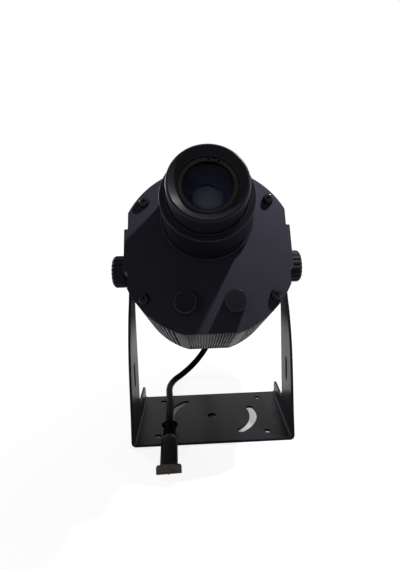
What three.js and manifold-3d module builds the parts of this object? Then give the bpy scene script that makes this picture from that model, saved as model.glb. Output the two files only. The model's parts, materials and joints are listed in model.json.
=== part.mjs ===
// Gobo projector: a finned lamp head with a focusing lens barrel, carried by a folded steel yoke.
// Millimetres. +Z is up, +X is the right-hand side seen from the front, and the lens looks to -Y.
// The origin is the centre of the object without its lead, at the underside of the yoke's base.

import * as THREE from "three";
import { mergeVertices } from "three/addons/utils/BufferGeometryUtils.js";
import Module from "manifold-3d";

const wasm = await Module();
wasm.setup();

// General clearances
const seat_gap = 0.3;
const running_gap = 0.45;
const overrun = 4;

// Yoke: one folded sheet with two arms
const sheet = 2.5;
const yoke_width = 165;
const yoke_depth = 112;
const yoke_bend = 2.5;
const pivot_height = 170;
const skirt_height = 18;
const skirt_corner = 8;
const arm_rear = 1;
const arm_fillet = 10;
const arm_neck_height = 118;
const arm_head_radius = 17;
const arm_head_front_angle = 153;
const arm_head_rear_angle = -8;
const arm_front_shares = [
  [0.45, 0.87],
  [0.66, 0.745],
  [0.82, 0.595],
  [0.895, 0.44],
  [0.925, 0.3],
  [0.95, 0.17],
];
const pivot_hole_radius = 3.4;
const arm_slot_set = 27;
const arm_slot_low = 51.5;
const arm_slot_length = 26;
const arm_slot_width = 8;
const base_hole_x = 57;
const base_hole_y = 40;
const base_hole_radius = 3.2;
const base_centre_hole_radius = 4.8;
const arc_slot_radius = 46.5;
const arc_slot_width = 8;
const arc_slot_front_angle = 49.8;
const arc_slot_rear_angle = 18.2;

// Tilt knobs and the studs that clamp the head between the arms
const stud_radius = 3;
const stud_reach = 10;
const knob_radius = 17.2;
const knob_thickness = 15.4;
const knob_round = 3.5;
const knob_flute_count = 18;
const knob_flute_step_count = 3;
const knob_flute_depth = 0.9;
const knob_hub_radius = 9;
const knob_hub_length = 1.5;
const knob_cap_wall = 5;
const knob_washer_radius = 11;
const knob_washer_thickness = 1.2;
const friction_washer_radius = 14;
const friction_washer_thickness = 1.7;

// Head: the cross-section of the extruded body, about its own axis
const head_tilt = 23.5;
const land_side = yoke_width / 2 - sheet - friction_washer_thickness - 2 * seat_gap;
const land_half_height = 20.5;
const land_rise = 3.4;
const step_side = land_side - land_rise;
const step_wall = 1.3;
const bore_radius = step_side - step_wall;
const body_wall = 9.7;
const body_radius = bore_radius + body_wall;
const flat_drop = 3.4;
const body_flat = body_radius - flat_drop;
const body_length = 150;
const plate_front = 78;
const plate_thickness = 4;
const cover_thickness = 4;
const gasket_thickness = 1;
const gasket_inset = 1.5;
const gasket_width = 9.8;
const flat_groove_width = 1.3;
const flat_groove_depth = 2.6;
const flat_groove_count = 16;
const flat_groove_margin = 1.39;
const flat_half_width = Math.sqrt(body_radius ** 2 - body_flat ** 2);
const flat_groove_pitch = (2 * (flat_half_width - flat_groove_margin)) / flat_groove_count;
const arc_groove_width = 2.2;
const arc_groove_depth = 4.2;
const arc_groove_count = 11;
const arc_groove_start = 31;
const arc_groove_end = 67.2;
const plain_arc_count = 5;
const stud_boss_radius = 9;
const stud_boss_length = 8;

// Cover screws
const screw_edge = 7.6;
const screw_angle = 38.24;
const screw_boss_radius = 6;
const screw_head_radius = 5;
const screw_head_height = 3.8;
const screw_head_round = 1.5;
const screw_radius = 1.9;
const screw_reach = 15;
const screw_hole_depth = 12;

// Lens tube, focus ring and sliding barrel, from the front plate's face
const lens_room = 43;
const lens_axis = bore_radius - lens_room;
const flange_radius = 44;
const flange_thickness = 4;
const flange_bevel = 0.8;
const guide_wall = 3.2;
const guide_end = 46.2;
const spigot_depth = 12;
const focus_radius = 41.1;
const focus_end = 50.7;
const focus_bevel = 0.7;
const rim_radius = 35.5;
const rim_height = 0.8;
const barrel_radius = 34;
const barrel_clearance = 0.4;
const barrel_wall = 6;
const barrel_rear = 10;
const barrel_front = 78;
const barrel_lip = 1.2;
const mouth_radius = 25.6;
const mouth_depth = 6.3;
const clip_thickness = 1.6;
const clip_inner_radius = 20.8;
const clip_gap = 3.4;
const clip_gap_angle = 14;
const front_lens_radius = 24.6;
const front_lens_edge = 5;
const front_lens_dome = 3.4;
const lens_shoulder = 2.6;
const lens_rim = 4;
const rear_lens_radius = 13.8;
const rear_lens_edge = 4;
const rear_lens_dome = 2.6;
const rear_lens_set = 32.6;
const rear_ring_thickness = 2.4;
const rear_ring_inner_radius = 10.8;

// Control knobs on the front plate and the controls behind it
const control_x = 22.2;
const control_room = 21;
const control_z = control_room - bore_radius;
const control_radius = 10.3;
const control_height = 10.4;
const control_stand = 0.6;
const control_bevel = 0.7;
const control_cap_wall = 2.4;
const control_recess_radius = 7.4;
const control_recess_depth = 3.2;
const pot_radius = 8.4;
const pot_depth = 9;
const pot_bush_radius = 3.9;
const pot_nut_radius = 6.2;
const pot_nut_height = 2;
const shaft_radius = 3;
const shaft_entry = 4;

// Gobo stage: bulkhead, gear ring, pattern glass and its motor
const stage_front = 43;
const stage_thickness = 3;
const stage_hub_radius = 25;
const stage_hub_height = 6;
const stage_window_radius = 21;
const gear_tooth_count = 32;
const pinion_tooth_count = 8;
const gear_module = 1.875;
const gear_clearance = 0.25;
const gear_tip_share = 0.22;
const gear_root_share = 0.62;
const gear_thickness = 5;
const gear_front_wall = 1.6;
const gobo_radius = 18.5;
const gobo_thickness = 1.1;
const gobo_window_radius = 15.5;
const gobo_cup_wall = 2.4;
const gobo_clip_thickness = 1;
const gobo_clip_width = 1.8;
const motor_radius = 11;
const motor_length = 20;
const motor_shaft_radius = 1.5;

// Light engine: heat sink, light source and condenser
const sink_front = 18;
const sink_thickness = 7;
const sink_fin_length = 38;
const sink_fin_thickness = 2.4;
const sink_fin_pitch = 11;
const sink_fin_count = 7;
const sink_fin_room = 15;
const sink_fin_top = bore_radius - sink_fin_room;
const led_side = 28;
const led_thickness = 1.6;
const led_dome_radius = 9;
const led_dome_height = 1.4;
const condenser_radius = 25;
const condenser_wall = 2.5;
const condenser_lens_edge = 4;
const condenser_lens_dome = 5;
const condenser_lens_set = 8;
const condenser_seat = 2;

// Driver board on posts behind the heat sink
const board_height = 28;
const board_room = 26;
const board_centre = board_room - bore_radius;
const board_margin = 5.1;
const board_bottom = board_centre - board_height / 2;
const board_width = 2 * (Math.sqrt(bore_radius ** 2 - board_bottom ** 2) - board_margin);
const board_clearance = 7;
const sink_fin_bottom = board_centre + board_height / 2 + board_clearance;
const board_thickness = 1.6;
const post_radius = 3;
const post_length = 14;
const post_margin = 5;
const post_x = board_width / 2 - post_margin;
const post_spread = 10;
const coil_width = 22;
const coil_height = 18;
const coil_depth = 15;
const capacitor_radius = 6;
const capacitor_length = 17;
const capacitor_x = 23;

// Fan behind the vents of the rear cover
const fan_over_bore = 7;
const fan_side = bore_radius + fan_over_bore;
const fan_depth = 15;
const fan_corner = 6;
const fan_below_axis = 26;
const fan_centre = fan_side / 2 - fan_below_axis;
const fan_rim = 2;
const fan_bore_radius = fan_side / 2 - fan_rim;
const fan_hub_radius = 15;
const fan_tip_gap = 2;
const fan_blade_radius = fan_bore_radius - fan_tip_gap;
const fan_blade_count = 7;
const fan_blade_bury = 2;
const fan_hub_set = 1;
const fan_blade_chord = 14;
const fan_blade_thickness = 1.6;
const fan_blade_angle = 38;
const fan_strut_width = 5;
const fan_strut_bury = 0.5;
const fan_strut_thickness = 3;
const fan_strut_count = 4;
const fan_axle_radius = 2;
const vent_ring_count = 4;
const vent_first_radius = 17;
const vent_pitch = 6;
const vent_width = 3.4;
const vent_spoke = 4;
const vent_sector_count = 4;
const vent_facet_count = 4;

// Cable gland low on the rear cover
const gland_room = 18;
const gland_height = gland_room - bore_radius;
const gland_hex_radius = 11;
const hex_side_count = 6;
const gland_hex_depth = 5;
const gland_thread_radius = 8;
const gland_locknut_depth = 4;
const gland_nut_radius = 9.6;
const gland_nut_length = 15;
const gland_nut_nose = 6.6;
const gland_boot_throat_radius = 5.6;
const gland_boot_base_radius = 7;
const gland_boot_tip_radius = 5;
const gland_boot_collar = 2;
const gland_boot_length = 22;

// Power lead and its moulded in-line connector
const lead_radius = 4.2;
const lead_side_count = 8;
const lead_step_count = 14;
const connector_x = -45.5;
const connector_y = -29.7;
const connector_height = 9.7;
const connector_yaw = 2.5;
const connector_pitch = 4;
const tail_length = 24;
const tail_width = 12.6;
const tail_height = 9.4;
const tail_collar_width = 16.6;
const tail_collar = 2.6;
const tail_rib_pitch = 5;
const tail_rib_gap = 1.5;
const tail_rib_depth = 1;
const tail_rib_count = 4;
const shell_width = 16.4;
const shell_nose_height = 7.2;
const shell_shoulder = 8;
const shell_length = 47.6;
const end_flange_width = 23.1;
const end_flange_height = 8.4;
const end_flange_thickness = 2.6;
const end_flange_corner = 3;
const nose_radius = 1.3;
const nose_length = 1.2;
const nut_wall = 0.85;
const nut_end_wall = 1;
const nut_bevel = 0.3;

// Sections of the connector: an oval has the exponent 2, and a higher one has squarer corners
const oval_power = 2;
const shell_power = 4;

// The lead's route, from the gland to the connector, measured from the yoke's base centre
const lead_route = [
  [1.3, 100.9, 65.9],
  [2.5, 116.7, 55.8],
  [-1.2, 128.1, 41.6],
  [-10.5, 132.4, 26],
  [-23.3, 128.6, 13],
  [-36.5, 117.5, 5.7],
  [-46.1, 101.5, 4.6],
  [-50.7, 83.3, 5.3],
  [-51.4, 64.6, 6.7],
  [-50, 45.8, 8],
  [-48.3, 27.1, 9],
  [-47.1, 8.3, 9.8],
  [-46.3, -10.6, 10.3],
];

// Round pieces are turned with these numbers of facets
const fine_round = 24;
const medium_round = 16;
const small_round = 12;
const tiny_round = 8;
const slot_round = 6;

const turn = Math.PI * 2;
const radians = THREE.MathUtils.degToRad;
const tilt = radians(head_tilt);

// Closed mesh to exact solid, and back to a mesh geometry
function solid(geometry) {
  const bare = geometry.clone();
  for (const name of Object.keys(bare.attributes)) {
    if (name !== "position") bare.deleteAttribute(name);
  }
  const merged = mergeVertices(bare, 1e-4);
  return new wasm.Manifold(
    new wasm.Mesh({
      numProp: 3,
      vertProperties: new Float32Array(merged.attributes.position.array),
      triVerts: new Uint32Array(merged.index.array),
    }),
  );
}

function geometryOf(body) {
  const mesh = body.getMesh();
  const geometry = new THREE.BufferGeometry();
  geometry.setAttribute(
    "position",
    new THREE.BufferAttribute(new Float32Array(mesh.vertProperties), 3),
  );
  geometry.setIndex(new THREE.BufferAttribute(new Uint32Array(mesh.triVerts), 1));
  geometry.computeVertexNormals();
  return geometry;
}

const join = (first, ...rest) =>
  geometryOf(rest.reduce((body, piece) => body.add(solid(piece)), solid(first)));
const cut = (first, ...rest) =>
  geometryOf(rest.reduce((body, piece) => body.subtract(solid(piece)), solid(first)));
const common = (first, second) => geometryOf(solid(first).intersect(solid(second)));

// Directions in which outlines are extruded: forward is -Y, across is +X, upward is +Z
const forward_basis = new THREE.Matrix4().makeBasis(
  new THREE.Vector3(1, 0, 0),
  new THREE.Vector3(0, 0, 1),
  new THREE.Vector3(0, -1, 0),
);
const across_basis = new THREE.Matrix4().makeBasis(
  new THREE.Vector3(0, 1, 0),
  new THREE.Vector3(0, 0, 1),
  new THREE.Vector3(1, 0, 0),
);
const turned_forward = new THREE.Matrix4().makeRotationX(Math.PI);
const turned_across = new THREE.Matrix4().makeRotationZ(-Math.PI / 2);

function prism(shape, from, to, facets = tiny_round) {
  const geometry = new THREE.ExtrudeGeometry(shape, {
    depth: to - from,
    bevelEnabled: false,
    curveSegments: facets / 2,
  });
  return geometry.translate(0, 0, from);
}

const prismForward = (shape, from, to, facets) =>
  prism(shape, from, to, facets).applyMatrix4(forward_basis);
const prismAcross = (shape, from, to, facets) =>
  prism(shape, from, to, facets).applyMatrix4(across_basis);

// A turned piece from a profile of [radius, distance along the axis], listed so that it encloses
// the material counter-clockwise with the radius to the right
function turned(profile, facets = medium_round) {
  const points = profile.map(([radius, along]) => new THREE.Vector2(radius, along));
  const open = profile[0][0] === 0 && profile[profile.length - 1][0] === 0;
  if (!open) points.push(points[0].clone());
  return new THREE.LatheGeometry(points, facets);
}

const turnedForward = (profile, facets) => turned(profile, facets).applyMatrix4(turned_forward);
const turnedAcross = (profile, facets) => turned(profile, facets).applyMatrix4(turned_across);

const rod = (radius, from, to) => [
  [0, from],
  [radius, from],
  [radius, to],
  [0, to],
];

const ring = (inner, outer, from, to) => [
  [inner, from],
  [outer, from],
  [outer, to],
  [inner, to],
];

function circleShape(radius, x = 0, y = 0) {
  const shape = new THREE.Shape();
  shape.absarc(x, y, radius, 0, turn, false);
  return shape;
}

function polygonShape(points) {
  return new THREE.Shape(points.map(([x, y]) => new THREE.Vector2(x, y)));
}

function rectangleShape(width, height, x = 0, y = 0) {
  return polygonShape([
    [x - width / 2, y - height / 2],
    [x + width / 2, y - height / 2],
    [x + width / 2, y + height / 2],
    [x - width / 2, y + height / 2],
  ]);
}

// A slot with round ends that stands upright
function slotShape(width, length, x, low) {
  const radius = width / 2;
  const shape = new THREE.Shape();
  shape.absarc(x, low + length - radius, radius, 0, Math.PI, false);
  shape.absarc(x, low + radius, radius, Math.PI, turn, false);
  return shape;
}

// A slot that bends round the centre
function bentSlotShape(radius, width, from, to) {
  const half = width / 2;
  const shape = new THREE.Shape();
  shape.absarc(0, 0, radius + half, from, to, false);
  shape.absarc(radius * Math.cos(to), radius * Math.sin(to), half, to, to + Math.PI, false);
  shape.absarc(0, 0, radius - half, to, from, true);
  shape.absarc(
    radius * Math.cos(from),
    radius * Math.sin(from),
    half,
    from + Math.PI,
    from + turn,
    false,
  );
  return shape;
}

// A round outline with scalloped flutes for the fingers
function flutedShape(radius, depth, flutes, steps) {
  const points = [];
  for (let i = 0; i < flutes * steps; i += 1) {
    const angle = (turn * i) / (flutes * steps);
    const wave = 0.5 - 0.5 * Math.cos((turn * (i % steps)) / steps);
    const reach = radius - depth * wave;
    points.push([reach * Math.cos(angle), reach * Math.sin(angle)]);
  }
  return polygonShape(points);
}

// A spur gear outline with straight flanks
function gearShape(teeth, module, backlash, phase) {
  const pitch = (teeth * module) / 2;
  const tip = pitch + module;
  const root = pitch - module - backlash;
  const step = turn / teeth;
  const tip_half = (step * gear_tip_share) / 2;
  const root_half = (step * gear_root_share - backlash / pitch) / 2;
  const points = [];
  for (let i = 0; i < teeth; i += 1) {
    const middle = phase + i * step;
    for (const [reach, offset] of [
      [root, -root_half],
      [tip, -tip_half],
      [tip, tip_half],
      [root, root_half],
    ]) {
      points.push([reach * Math.cos(middle + offset), reach * Math.sin(middle + offset)]);
    }
  }
  return polygonShape(points);
}

const finish = (color, roughness, metalness) =>
  new THREE.MeshStandardMaterial({ color, roughness, metalness });

const black_paint = () => finish(0x17151c, 0.5, 0.3);
const black_anodised = () => finish(0x1b1920, 0.42, 0.6);
const black_plastic = () => finish(0x121214, 0.45, 0);
const black_rubber = () => finish(0x0d0d0e, 0.85, 0);
const black_screw = () => finish(0x0e0e10, 0.35, 0.8);
const bare_steel = () => finish(0x9a9a9c, 0.35, 1);
const bare_aluminium = () => finish(0xb4b6b8, 0.4, 1);
const clear_glass = () => finish(0x2a3446, 0.05, 0);
const olive_plastic = () => finish(0x3c3a32, 0.5, 0);

function piece(name, geometry, material) {
  const mesh = new THREE.Mesh(geometry, material);
  mesh.name = name;
  return mesh;
}

const sides = [
  ["left", -1],
  ["right", 1],
];

// The four cover screws, numbered from the top left and round to the right
const screw_x = (body_radius - screw_edge) * Math.cos(radians(screw_angle));
const screw_z = (body_radius - screw_edge) * Math.sin(radians(screw_angle));
const screw_places = [
  [-screw_x, screw_z],
  [screw_x, screw_z],
  [screw_x, -screw_z],
  [-screw_x, -screw_z],
];

// Stations along the head's axis, forward positive, from the pivot
const plate_rear = plate_front - plate_thickness;
const body_front = plate_rear - 2 * seat_gap - gasket_thickness;
const cover_rear = plate_front - body_length;
const cover_front = cover_rear + cover_thickness;
const body_rear = cover_front + 2 * seat_gap + gasket_thickness;
const bulkhead_radius = bore_radius - seat_gap;
const arm_inside = yoke_width / 2 - sheet;
const arm_outside = yoke_width / 2;

// Side view of the yoke: a low skirt all along, and a leaning arm that ends round the pivot
function yokeSideShape() {
  const half = yoke_depth / 2;
  const shape = new THREE.Shape();
  shape.moveTo(half, -overrun);
  shape.lineTo(half, skirt_height - skirt_corner);
  shape.absarc(half - skirt_corner, skirt_height - skirt_corner, skirt_corner, 0, Math.PI / 2, false);
  const inner = arm_rear + arm_fillet;
  shape.absarc(inner, skirt_height + arm_fillet, arm_fillet, -Math.PI / 2, -Math.PI, true);
  shape.lineTo(arm_rear, arm_neck_height);
  const rear = radians(arm_head_rear_angle);
  shape.quadraticCurveTo(
    arm_rear,
    (arm_neck_height + pivot_height) / 2,
    arm_head_radius * Math.cos(rear),
    pivot_height + arm_head_radius * Math.sin(rear),
  );
  shape.absarc(0, pivot_height, arm_head_radius, rear, radians(arm_head_front_angle), false);
  shape.splineThru(
    arm_front_shares.map(
      ([depth, height]) => new THREE.Vector2(-depth * half, height * pivot_height),
    ),
  );
  shape.lineTo(-half, sheet * 2);
  shape.lineTo(-half, -overrun);
  return shape;
}

// End view of the folded sheet
function yokeSheetShape() {
  const half = yoke_width / 2;
  const outer = yoke_bend + sheet;
  const top = pivot_height + arm_head_radius + overrun;
  const shape = new THREE.Shape();
  shape.moveTo(half, top);
  shape.lineTo(half - sheet, top);
  shape.absarc(half - outer, outer, yoke_bend, 0, -Math.PI / 2, true);
  shape.absarc(outer - half, outer, yoke_bend, -Math.PI / 2, -Math.PI, true);
  shape.lineTo(sheet - half, top);
  shape.lineTo(-half, top);
  shape.absarc(outer - half, outer, outer, -Math.PI, -Math.PI / 2, false);
  shape.absarc(half - outer, outer, outer, -Math.PI / 2, 0, false);
  return shape;
}

function makeYoke() {
  const folded = prismForward(yokeSheetShape(), -yoke_depth, yoke_depth, tiny_round);
  const blank = common(folded, prismAcross(yokeSideShape(), -yoke_width, yoke_width, tiny_round));
  const slot = (from, to) =>
    prism(
      bentSlotShape(arc_slot_radius, arc_slot_width, radians(from), radians(to)),
      -overrun,
      sheet + overrun,
      slot_round,
    );
  const tools = [
    slot(-arc_slot_front_angle, arc_slot_rear_angle),
    slot(180 - arc_slot_front_angle, 180 + arc_slot_rear_angle),
    prism(circleShape(base_centre_hole_radius), -overrun, sheet + overrun, small_round),
    prismAcross(circleShape(pivot_hole_radius, 0, pivot_height), -yoke_width, yoke_width, small_round),
    prismAcross(
      slotShape(arm_slot_width, arm_slot_length, -arm_slot_set, arm_slot_low),
      -yoke_width,
      yoke_width,
      slot_round,
    ),
  ];
  for (const x of [-base_hole_x, base_hole_x]) {
    for (const y of [-base_hole_y, base_hole_y]) {
      tools.push(prism(circleShape(base_hole_radius, x, y), -overrun, sheet + overrun, tiny_round));
    }
  }
  return piece("u_bracket", cut(blank, ...tools), black_paint());
}

// Tilt knob with its washer, made for the right-hand side about the pivot
const knob_washer_in = arm_outside + seat_gap;
const knob_hub_in = knob_washer_in + knob_washer_thickness + seat_gap;
const knob_in = knob_hub_in + knob_hub_length;
const knob_out = knob_in + knob_thickness;
const stud_in = land_side - stud_reach;
const stud_out = knob_out - knob_cap_wall;

function makeTiltKnob() {
  const fluted = prismAcross(
    flutedShape(knob_radius, knob_flute_depth, knob_flute_count, knob_flute_step_count),
    knob_hub_in - overrun,
    knob_out + overrun,
  );
  const round = [];
  for (let i = 0; i <= 2; i += 1) {
    const angle = (Math.PI / 2) * (i / 2);
    round.push([
      knob_radius - knob_round + knob_round * Math.cos(angle),
      knob_out - knob_round + knob_round * Math.sin(angle),
    ]);
  }
  const envelope = turnedAcross(
    [
      [0, knob_in],
      [knob_radius - knob_flute_depth, knob_in],
      [knob_radius, knob_in + knob_flute_depth],
      ...round,
      [0, knob_out],
    ],
    knob_flute_count,
  );
  const hub = turnedAcross(rod(knob_hub_radius, knob_hub_in, knob_in + overrun), small_round);
  const bore = turnedAcross(
    rod(stud_radius + seat_gap, knob_hub_in - overrun, stud_out + seat_gap),
    small_round,
  );
  return cut(join(common(fluted, envelope), hub), bore);
}

function makeTiltHardware(side, sign) {
  const group = new THREE.Group();
  group.position.z = pivot_height;
  group.rotation.z = sign > 0 ? 0 : Math.PI;
  const stud = turnedAcross(rod(stud_radius, stud_in, stud_out), small_round);
  const washer = turnedAcross(
    ring(stud_radius + seat_gap, knob_washer_radius, knob_washer_in, knob_hub_in - seat_gap),
    small_round,
  );
  const friction = turnedAcross(
    ring(stud_radius + seat_gap, friction_washer_radius, land_side + seat_gap, arm_inside - seat_gap),
    medium_round,
  );
  group.add(
    piece("tilt_knob_" + side, makeTiltKnob(), black_plastic()),
    piece("tilt_stud_" + side, stud, bare_steel()),
    piece("knob_washer_" + side, washer, black_screw()),
    piece("friction_washer_" + side, friction, black_plastic()),
  );
  return group;
}

// The extruded section: round, with flat top and bottom, flat lands for the pivots and a step
// above and below each land. Grooves leave the cooling fins standing.
function arcPoint(angle, reach, aside) {
  return [
    reach * Math.cos(angle) - aside * Math.sin(angle),
    reach * Math.sin(angle) + aside * Math.cos(angle),
  ];
}

function quarterPoints(inset, grooved) {
  const radius = body_radius - inset;
  const step_side_in = step_side - inset;
  const flat = body_flat - inset;
  const points = [
    [land_side - inset, 0],
    [land_side - inset, land_half_height - inset],
    [step_side_in, land_half_height - inset],
  ];
  const start = Math.acos(step_side_in / radius);
  const end = Math.asin(flat / radius);
  const arc_count = grooved ? arc_groove_count : plain_arc_count;
  const first = grooved ? radians(arc_groove_start) : start;
  const last = grooved ? radians(arc_groove_end) : end;
  points.push(arcPoint(start, radius, 0));
  for (let i = 0; i < arc_count; i += 1) {
    const angle = first + ((last - first) * (i + 0.5)) / arc_count;
    const half = arc_groove_width / 2;
    if (grooved) {
      points.push(
        arcPoint(angle, radius, -half),
        arcPoint(angle, radius - arc_groove_depth, -half),
        arcPoint(angle, radius - arc_groove_depth, half),
        arcPoint(angle, radius, half),
      );
    } else {
      points.push(arcPoint(angle, radius, 0));
    }
  }
  points.push(arcPoint(end, radius, 0));
  if (grooved) {
    for (let i = flat_groove_count / 2 - 1; i >= 0; i -= 1) {
      const x = (i + 0.5) * flat_groove_pitch;
      const half = flat_groove_width / 2;
      points.push(
        [x + half, flat],
        [x + half, flat - flat_groove_depth],
        [x - half, flat - flat_groove_depth],
        [x - half, flat],
      );
    }
  }
  return points;
}

function sectionShape(inset = 0, grooved = false) {
  const quarter = quarterPoints(inset, grooved);
  const mirrored = quarter.slice(1).reverse();
  return polygonShape([
    ...quarter,
    ...mirrored.map(([x, y]) => [-x, y]),
    ...quarter.map(([x, y]) => [-x, -y]),
    ...mirrored.map(([x, y]) => [x, -y]),
  ]);
}

function screwHoles(from, to) {
  return screw_places.map(([x, z]) =>
    prismForward(circleShape(screw_radius + seat_gap, x, z), from, to, tiny_round),
  );
}

function makeHousing() {
  const outside = prismForward(sectionShape(0, true), body_rear, body_front);
  const core = cut(
    prismForward(circleShape(bore_radius), body_rear - overrun, body_front + overrun, fine_round),
    ...screw_places.map(([x, z]) =>
      prismForward(
        circleShape(screw_boss_radius, x, z),
        body_rear - 2 * overrun,
        body_front + 2 * overrun,
        tiny_round,
      ),
    ),
  );
  const boss_out = bore_radius + (land_side - bore_radius) / 2;
  const bosses = sides.map(([, sign]) =>
    turnedAcross(rod(stud_boss_radius, bore_radius - stud_boss_length, boss_out), small_round).rotateZ(
      sign > 0 ? 0 : Math.PI,
    ),
  );
  const stud_holes = sides.map(([, sign]) =>
    turnedAcross(
      rod(stud_radius + seat_gap, stud_in - seat_gap, land_side + overrun),
      small_round,
    ).rotateZ(sign > 0 ? 0 : Math.PI),
  );
  const shell = join(cut(outside, core), ...bosses);
  return piece(
    "housing",
    cut(
      shell,
      ...stud_holes,
      ...screwHoles(body_front - screw_hole_depth, body_front + overrun),
      ...screwHoles(body_rear - overrun, body_rear + screw_hole_depth),
    ),
    black_anodised(),
  );
}

function gasket(name, from) {
  const shape = sectionShape(gasket_inset);
  shape.holes.push(circleShape(body_radius - gasket_inset - gasket_width));
  const sheet_form = prismForward(shape, from, from + gasket_thickness, small_round);
  return piece(
    name,
    cut(sheet_form, ...screwHoles(from - overrun, from + gasket_thickness + overrun)),
    black_rubber(),
  );
}

// Pan-head screw, its head outside the face it holds
function screwGeometry() {
  return turnedForward(
    [
      [0, -screw_reach],
      [screw_radius, -screw_reach],
      [screw_radius, 0],
      [screw_head_radius, 0],
      [screw_head_radius, screw_head_height - screw_head_round],
      [screw_head_radius - screw_head_round, screw_head_height],
      [0, screw_head_height],
    ],
    small_round,
  );
}

function makeScrews(prefix, face, direction) {
  return screw_places.map(([x, z], i) => {
    const screw = piece(prefix + (i + 1), screwGeometry(), black_screw());
    screw.position.set(x, -(face + direction * seat_gap), z);
    screw.rotation.x = direction > 0 ? 0 : Math.PI;
    return screw;
  });
}

function makeFrontPlate() {
  const blank = prismForward(sectionShape(), plate_rear, plate_front);
  const holes = [
    prismForward(
      circleShape(spigot_radius + seat_gap, 0, lens_axis),
      plate_rear - overrun,
      plate_front + overrun,
      fine_round,
    ),
    ...sides.map(([, sign]) =>
      prismForward(
        circleShape(pot_bush_radius + seat_gap, sign * control_x, control_z),
        plate_rear - overrun,
        plate_front + overrun,
        tiny_round,
      ),
    ),
    ...screwHoles(plate_rear - overrun, plate_front + overrun),
  ];
  return piece("front_plate", cut(blank, ...holes), black_paint());
}

// Lens tube: a flange on the plate, a guide in which the barrel slides, and a spigot through it
const guide_inner = barrel_radius + barrel_clearance;
const guide_outer = guide_inner + guide_wall;
const spigot_radius = guide_outer;

function makeLensBase() {
  return piece(
    "lens_base_tube",
    turnedForward(
      [
        [guide_inner, -spigot_depth],
        [spigot_radius, -spigot_depth],
        [spigot_radius, seat_gap],
        [flange_radius, seat_gap],
        [flange_radius, flange_thickness - flange_bevel],
        [flange_radius - flange_bevel, flange_thickness],
        [guide_outer, flange_thickness],
        [guide_outer, guide_end],
        [guide_inner, guide_end],
      ],
      fine_round,
    ),
    black_anodised(),
  );
}

// Focus ring: turns on the guide, and its lip closes in on the barrel with a raised, bevelled rim
function makeFocusRing() {
  const rear = flange_thickness + seat_gap;
  const bore = guide_outer + running_gap;
  return piece(
    "focus_ring",
    turnedForward(
      [
        [bore, rear],
        [focus_radius - focus_bevel, rear],
        [focus_radius, rear + focus_bevel],
        [focus_radius, focus_end - focus_bevel],
        [focus_radius - focus_bevel, focus_end],
        [rim_radius, focus_end],
        [rim_radius, focus_end + rim_height],
        [rim_radius - rim_height, focus_end + rim_height],
        [guide_inner, focus_end - rim_height],
        [guide_inner, guide_end + seat_gap],
        [bore, guide_end + seat_gap],
      ],
      fine_round,
    ),
    black_anodised(),
  );
}

// Sliding barrel: a conical mouth in front, then the seats of the two lens elements and a wide bore
const clip_seat = barrel_front - mouth_depth;
const clip_front = clip_seat - seat_gap;
const clip_rear = clip_front - clip_thickness;
const front_lens_front = clip_rear - seat_gap;
const front_lens_rear = front_lens_front - front_lens_edge;
const rear_lens_rear = barrel_rear + rear_lens_set;
const rear_lens_front = rear_lens_rear + rear_lens_edge;
const rear_ring_front = rear_lens_rear - seat_gap;
const rear_ring_rear = rear_ring_front - rear_ring_thickness;

function makeBarrel() {
  const front_seat = front_lens_radius + seat_gap;
  const rear_seat = rear_lens_radius + seat_gap;
  const rear_bore = barrel_radius - barrel_wall;
  const rear_bore_end = rear_ring_rear - lens_shoulder;
  return piece(
    "lens_barrel",
    turnedForward(
      [
        [rear_bore, barrel_rear],
        [barrel_radius, barrel_rear],
        [barrel_radius, barrel_front - barrel_lip],
        [barrel_radius - barrel_lip, barrel_front],
        [mouth_radius, clip_seat],
        [front_seat, clip_seat],
        [front_seat, front_lens_rear - seat_gap],
        [front_lens_radius - lens_shoulder, front_lens_rear - seat_gap],
        [front_lens_radius - lens_shoulder, front_lens_rear - seat_gap - lens_shoulder],
        [rear_lens_radius - lens_shoulder, rear_lens_front + seat_gap + lens_shoulder],
        [rear_lens_radius - lens_shoulder, rear_lens_front + seat_gap],
        [rear_seat, rear_lens_front + seat_gap],
        [rear_seat, rear_bore_end],
        [rear_bore, rear_bore_end],
      ],
      fine_round,
    ),
    black_anodised(),
  );
}

// A lens element with a flat rear face and a crowned front, inside its rim
function lensProfile(radius, rear, front, dome) {
  const steps = 3;
  const crown = radius - lens_rim;
  const face = (base, height) =>
    Array.from({ length: steps + 1 }, (_, i) => {
      const share = i / steps;
      return [crown * share, base + height * (1 - share * share)];
    });
  return [[0, rear], [radius, rear], [radius, front], ...face(front, dome).reverse()];
}

// Open spring ring that holds the front lens in its seat
function makeLensClip() {
  const closed = turnedForward(
    ring(clip_inner_radius, front_lens_radius, clip_rear, clip_front),
    fine_round,
  );
  const opening = prismForward(
    rectangleShape(clip_gap, front_lens_radius, 0, front_lens_radius),
    clip_rear - overrun,
    clip_front + overrun,
  ).rotateY(radians(clip_gap_angle));
  return piece("front_lens_clip", cut(closed, opening), black_screw());
}

function makeLensGroup() {
  const group = new THREE.Group();
  group.position.set(0, -plate_front, lens_axis);
  group.add(
    makeLensBase(),
    makeFocusRing(),
    makeBarrel(),
    makeLensClip(),
    piece(
      "front_lens",
      turnedForward(
        lensProfile(front_lens_radius, front_lens_rear, front_lens_front, front_lens_dome),
        medium_round,
      ),
      clear_glass(),
    ),
    piece(
      "rear_lens",
      turnedForward(
        lensProfile(rear_lens_radius, rear_lens_rear, rear_lens_front, rear_lens_dome),
        medium_round,
      ),
      clear_glass(),
    ),
    piece(
      "rear_lens_ring",
      turnedForward(
        ring(rear_ring_inner_radius, rear_lens_radius, rear_ring_rear, rear_ring_front),
        medium_round,
      ),
      black_screw(),
    ),
  );
  return group;
}

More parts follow.
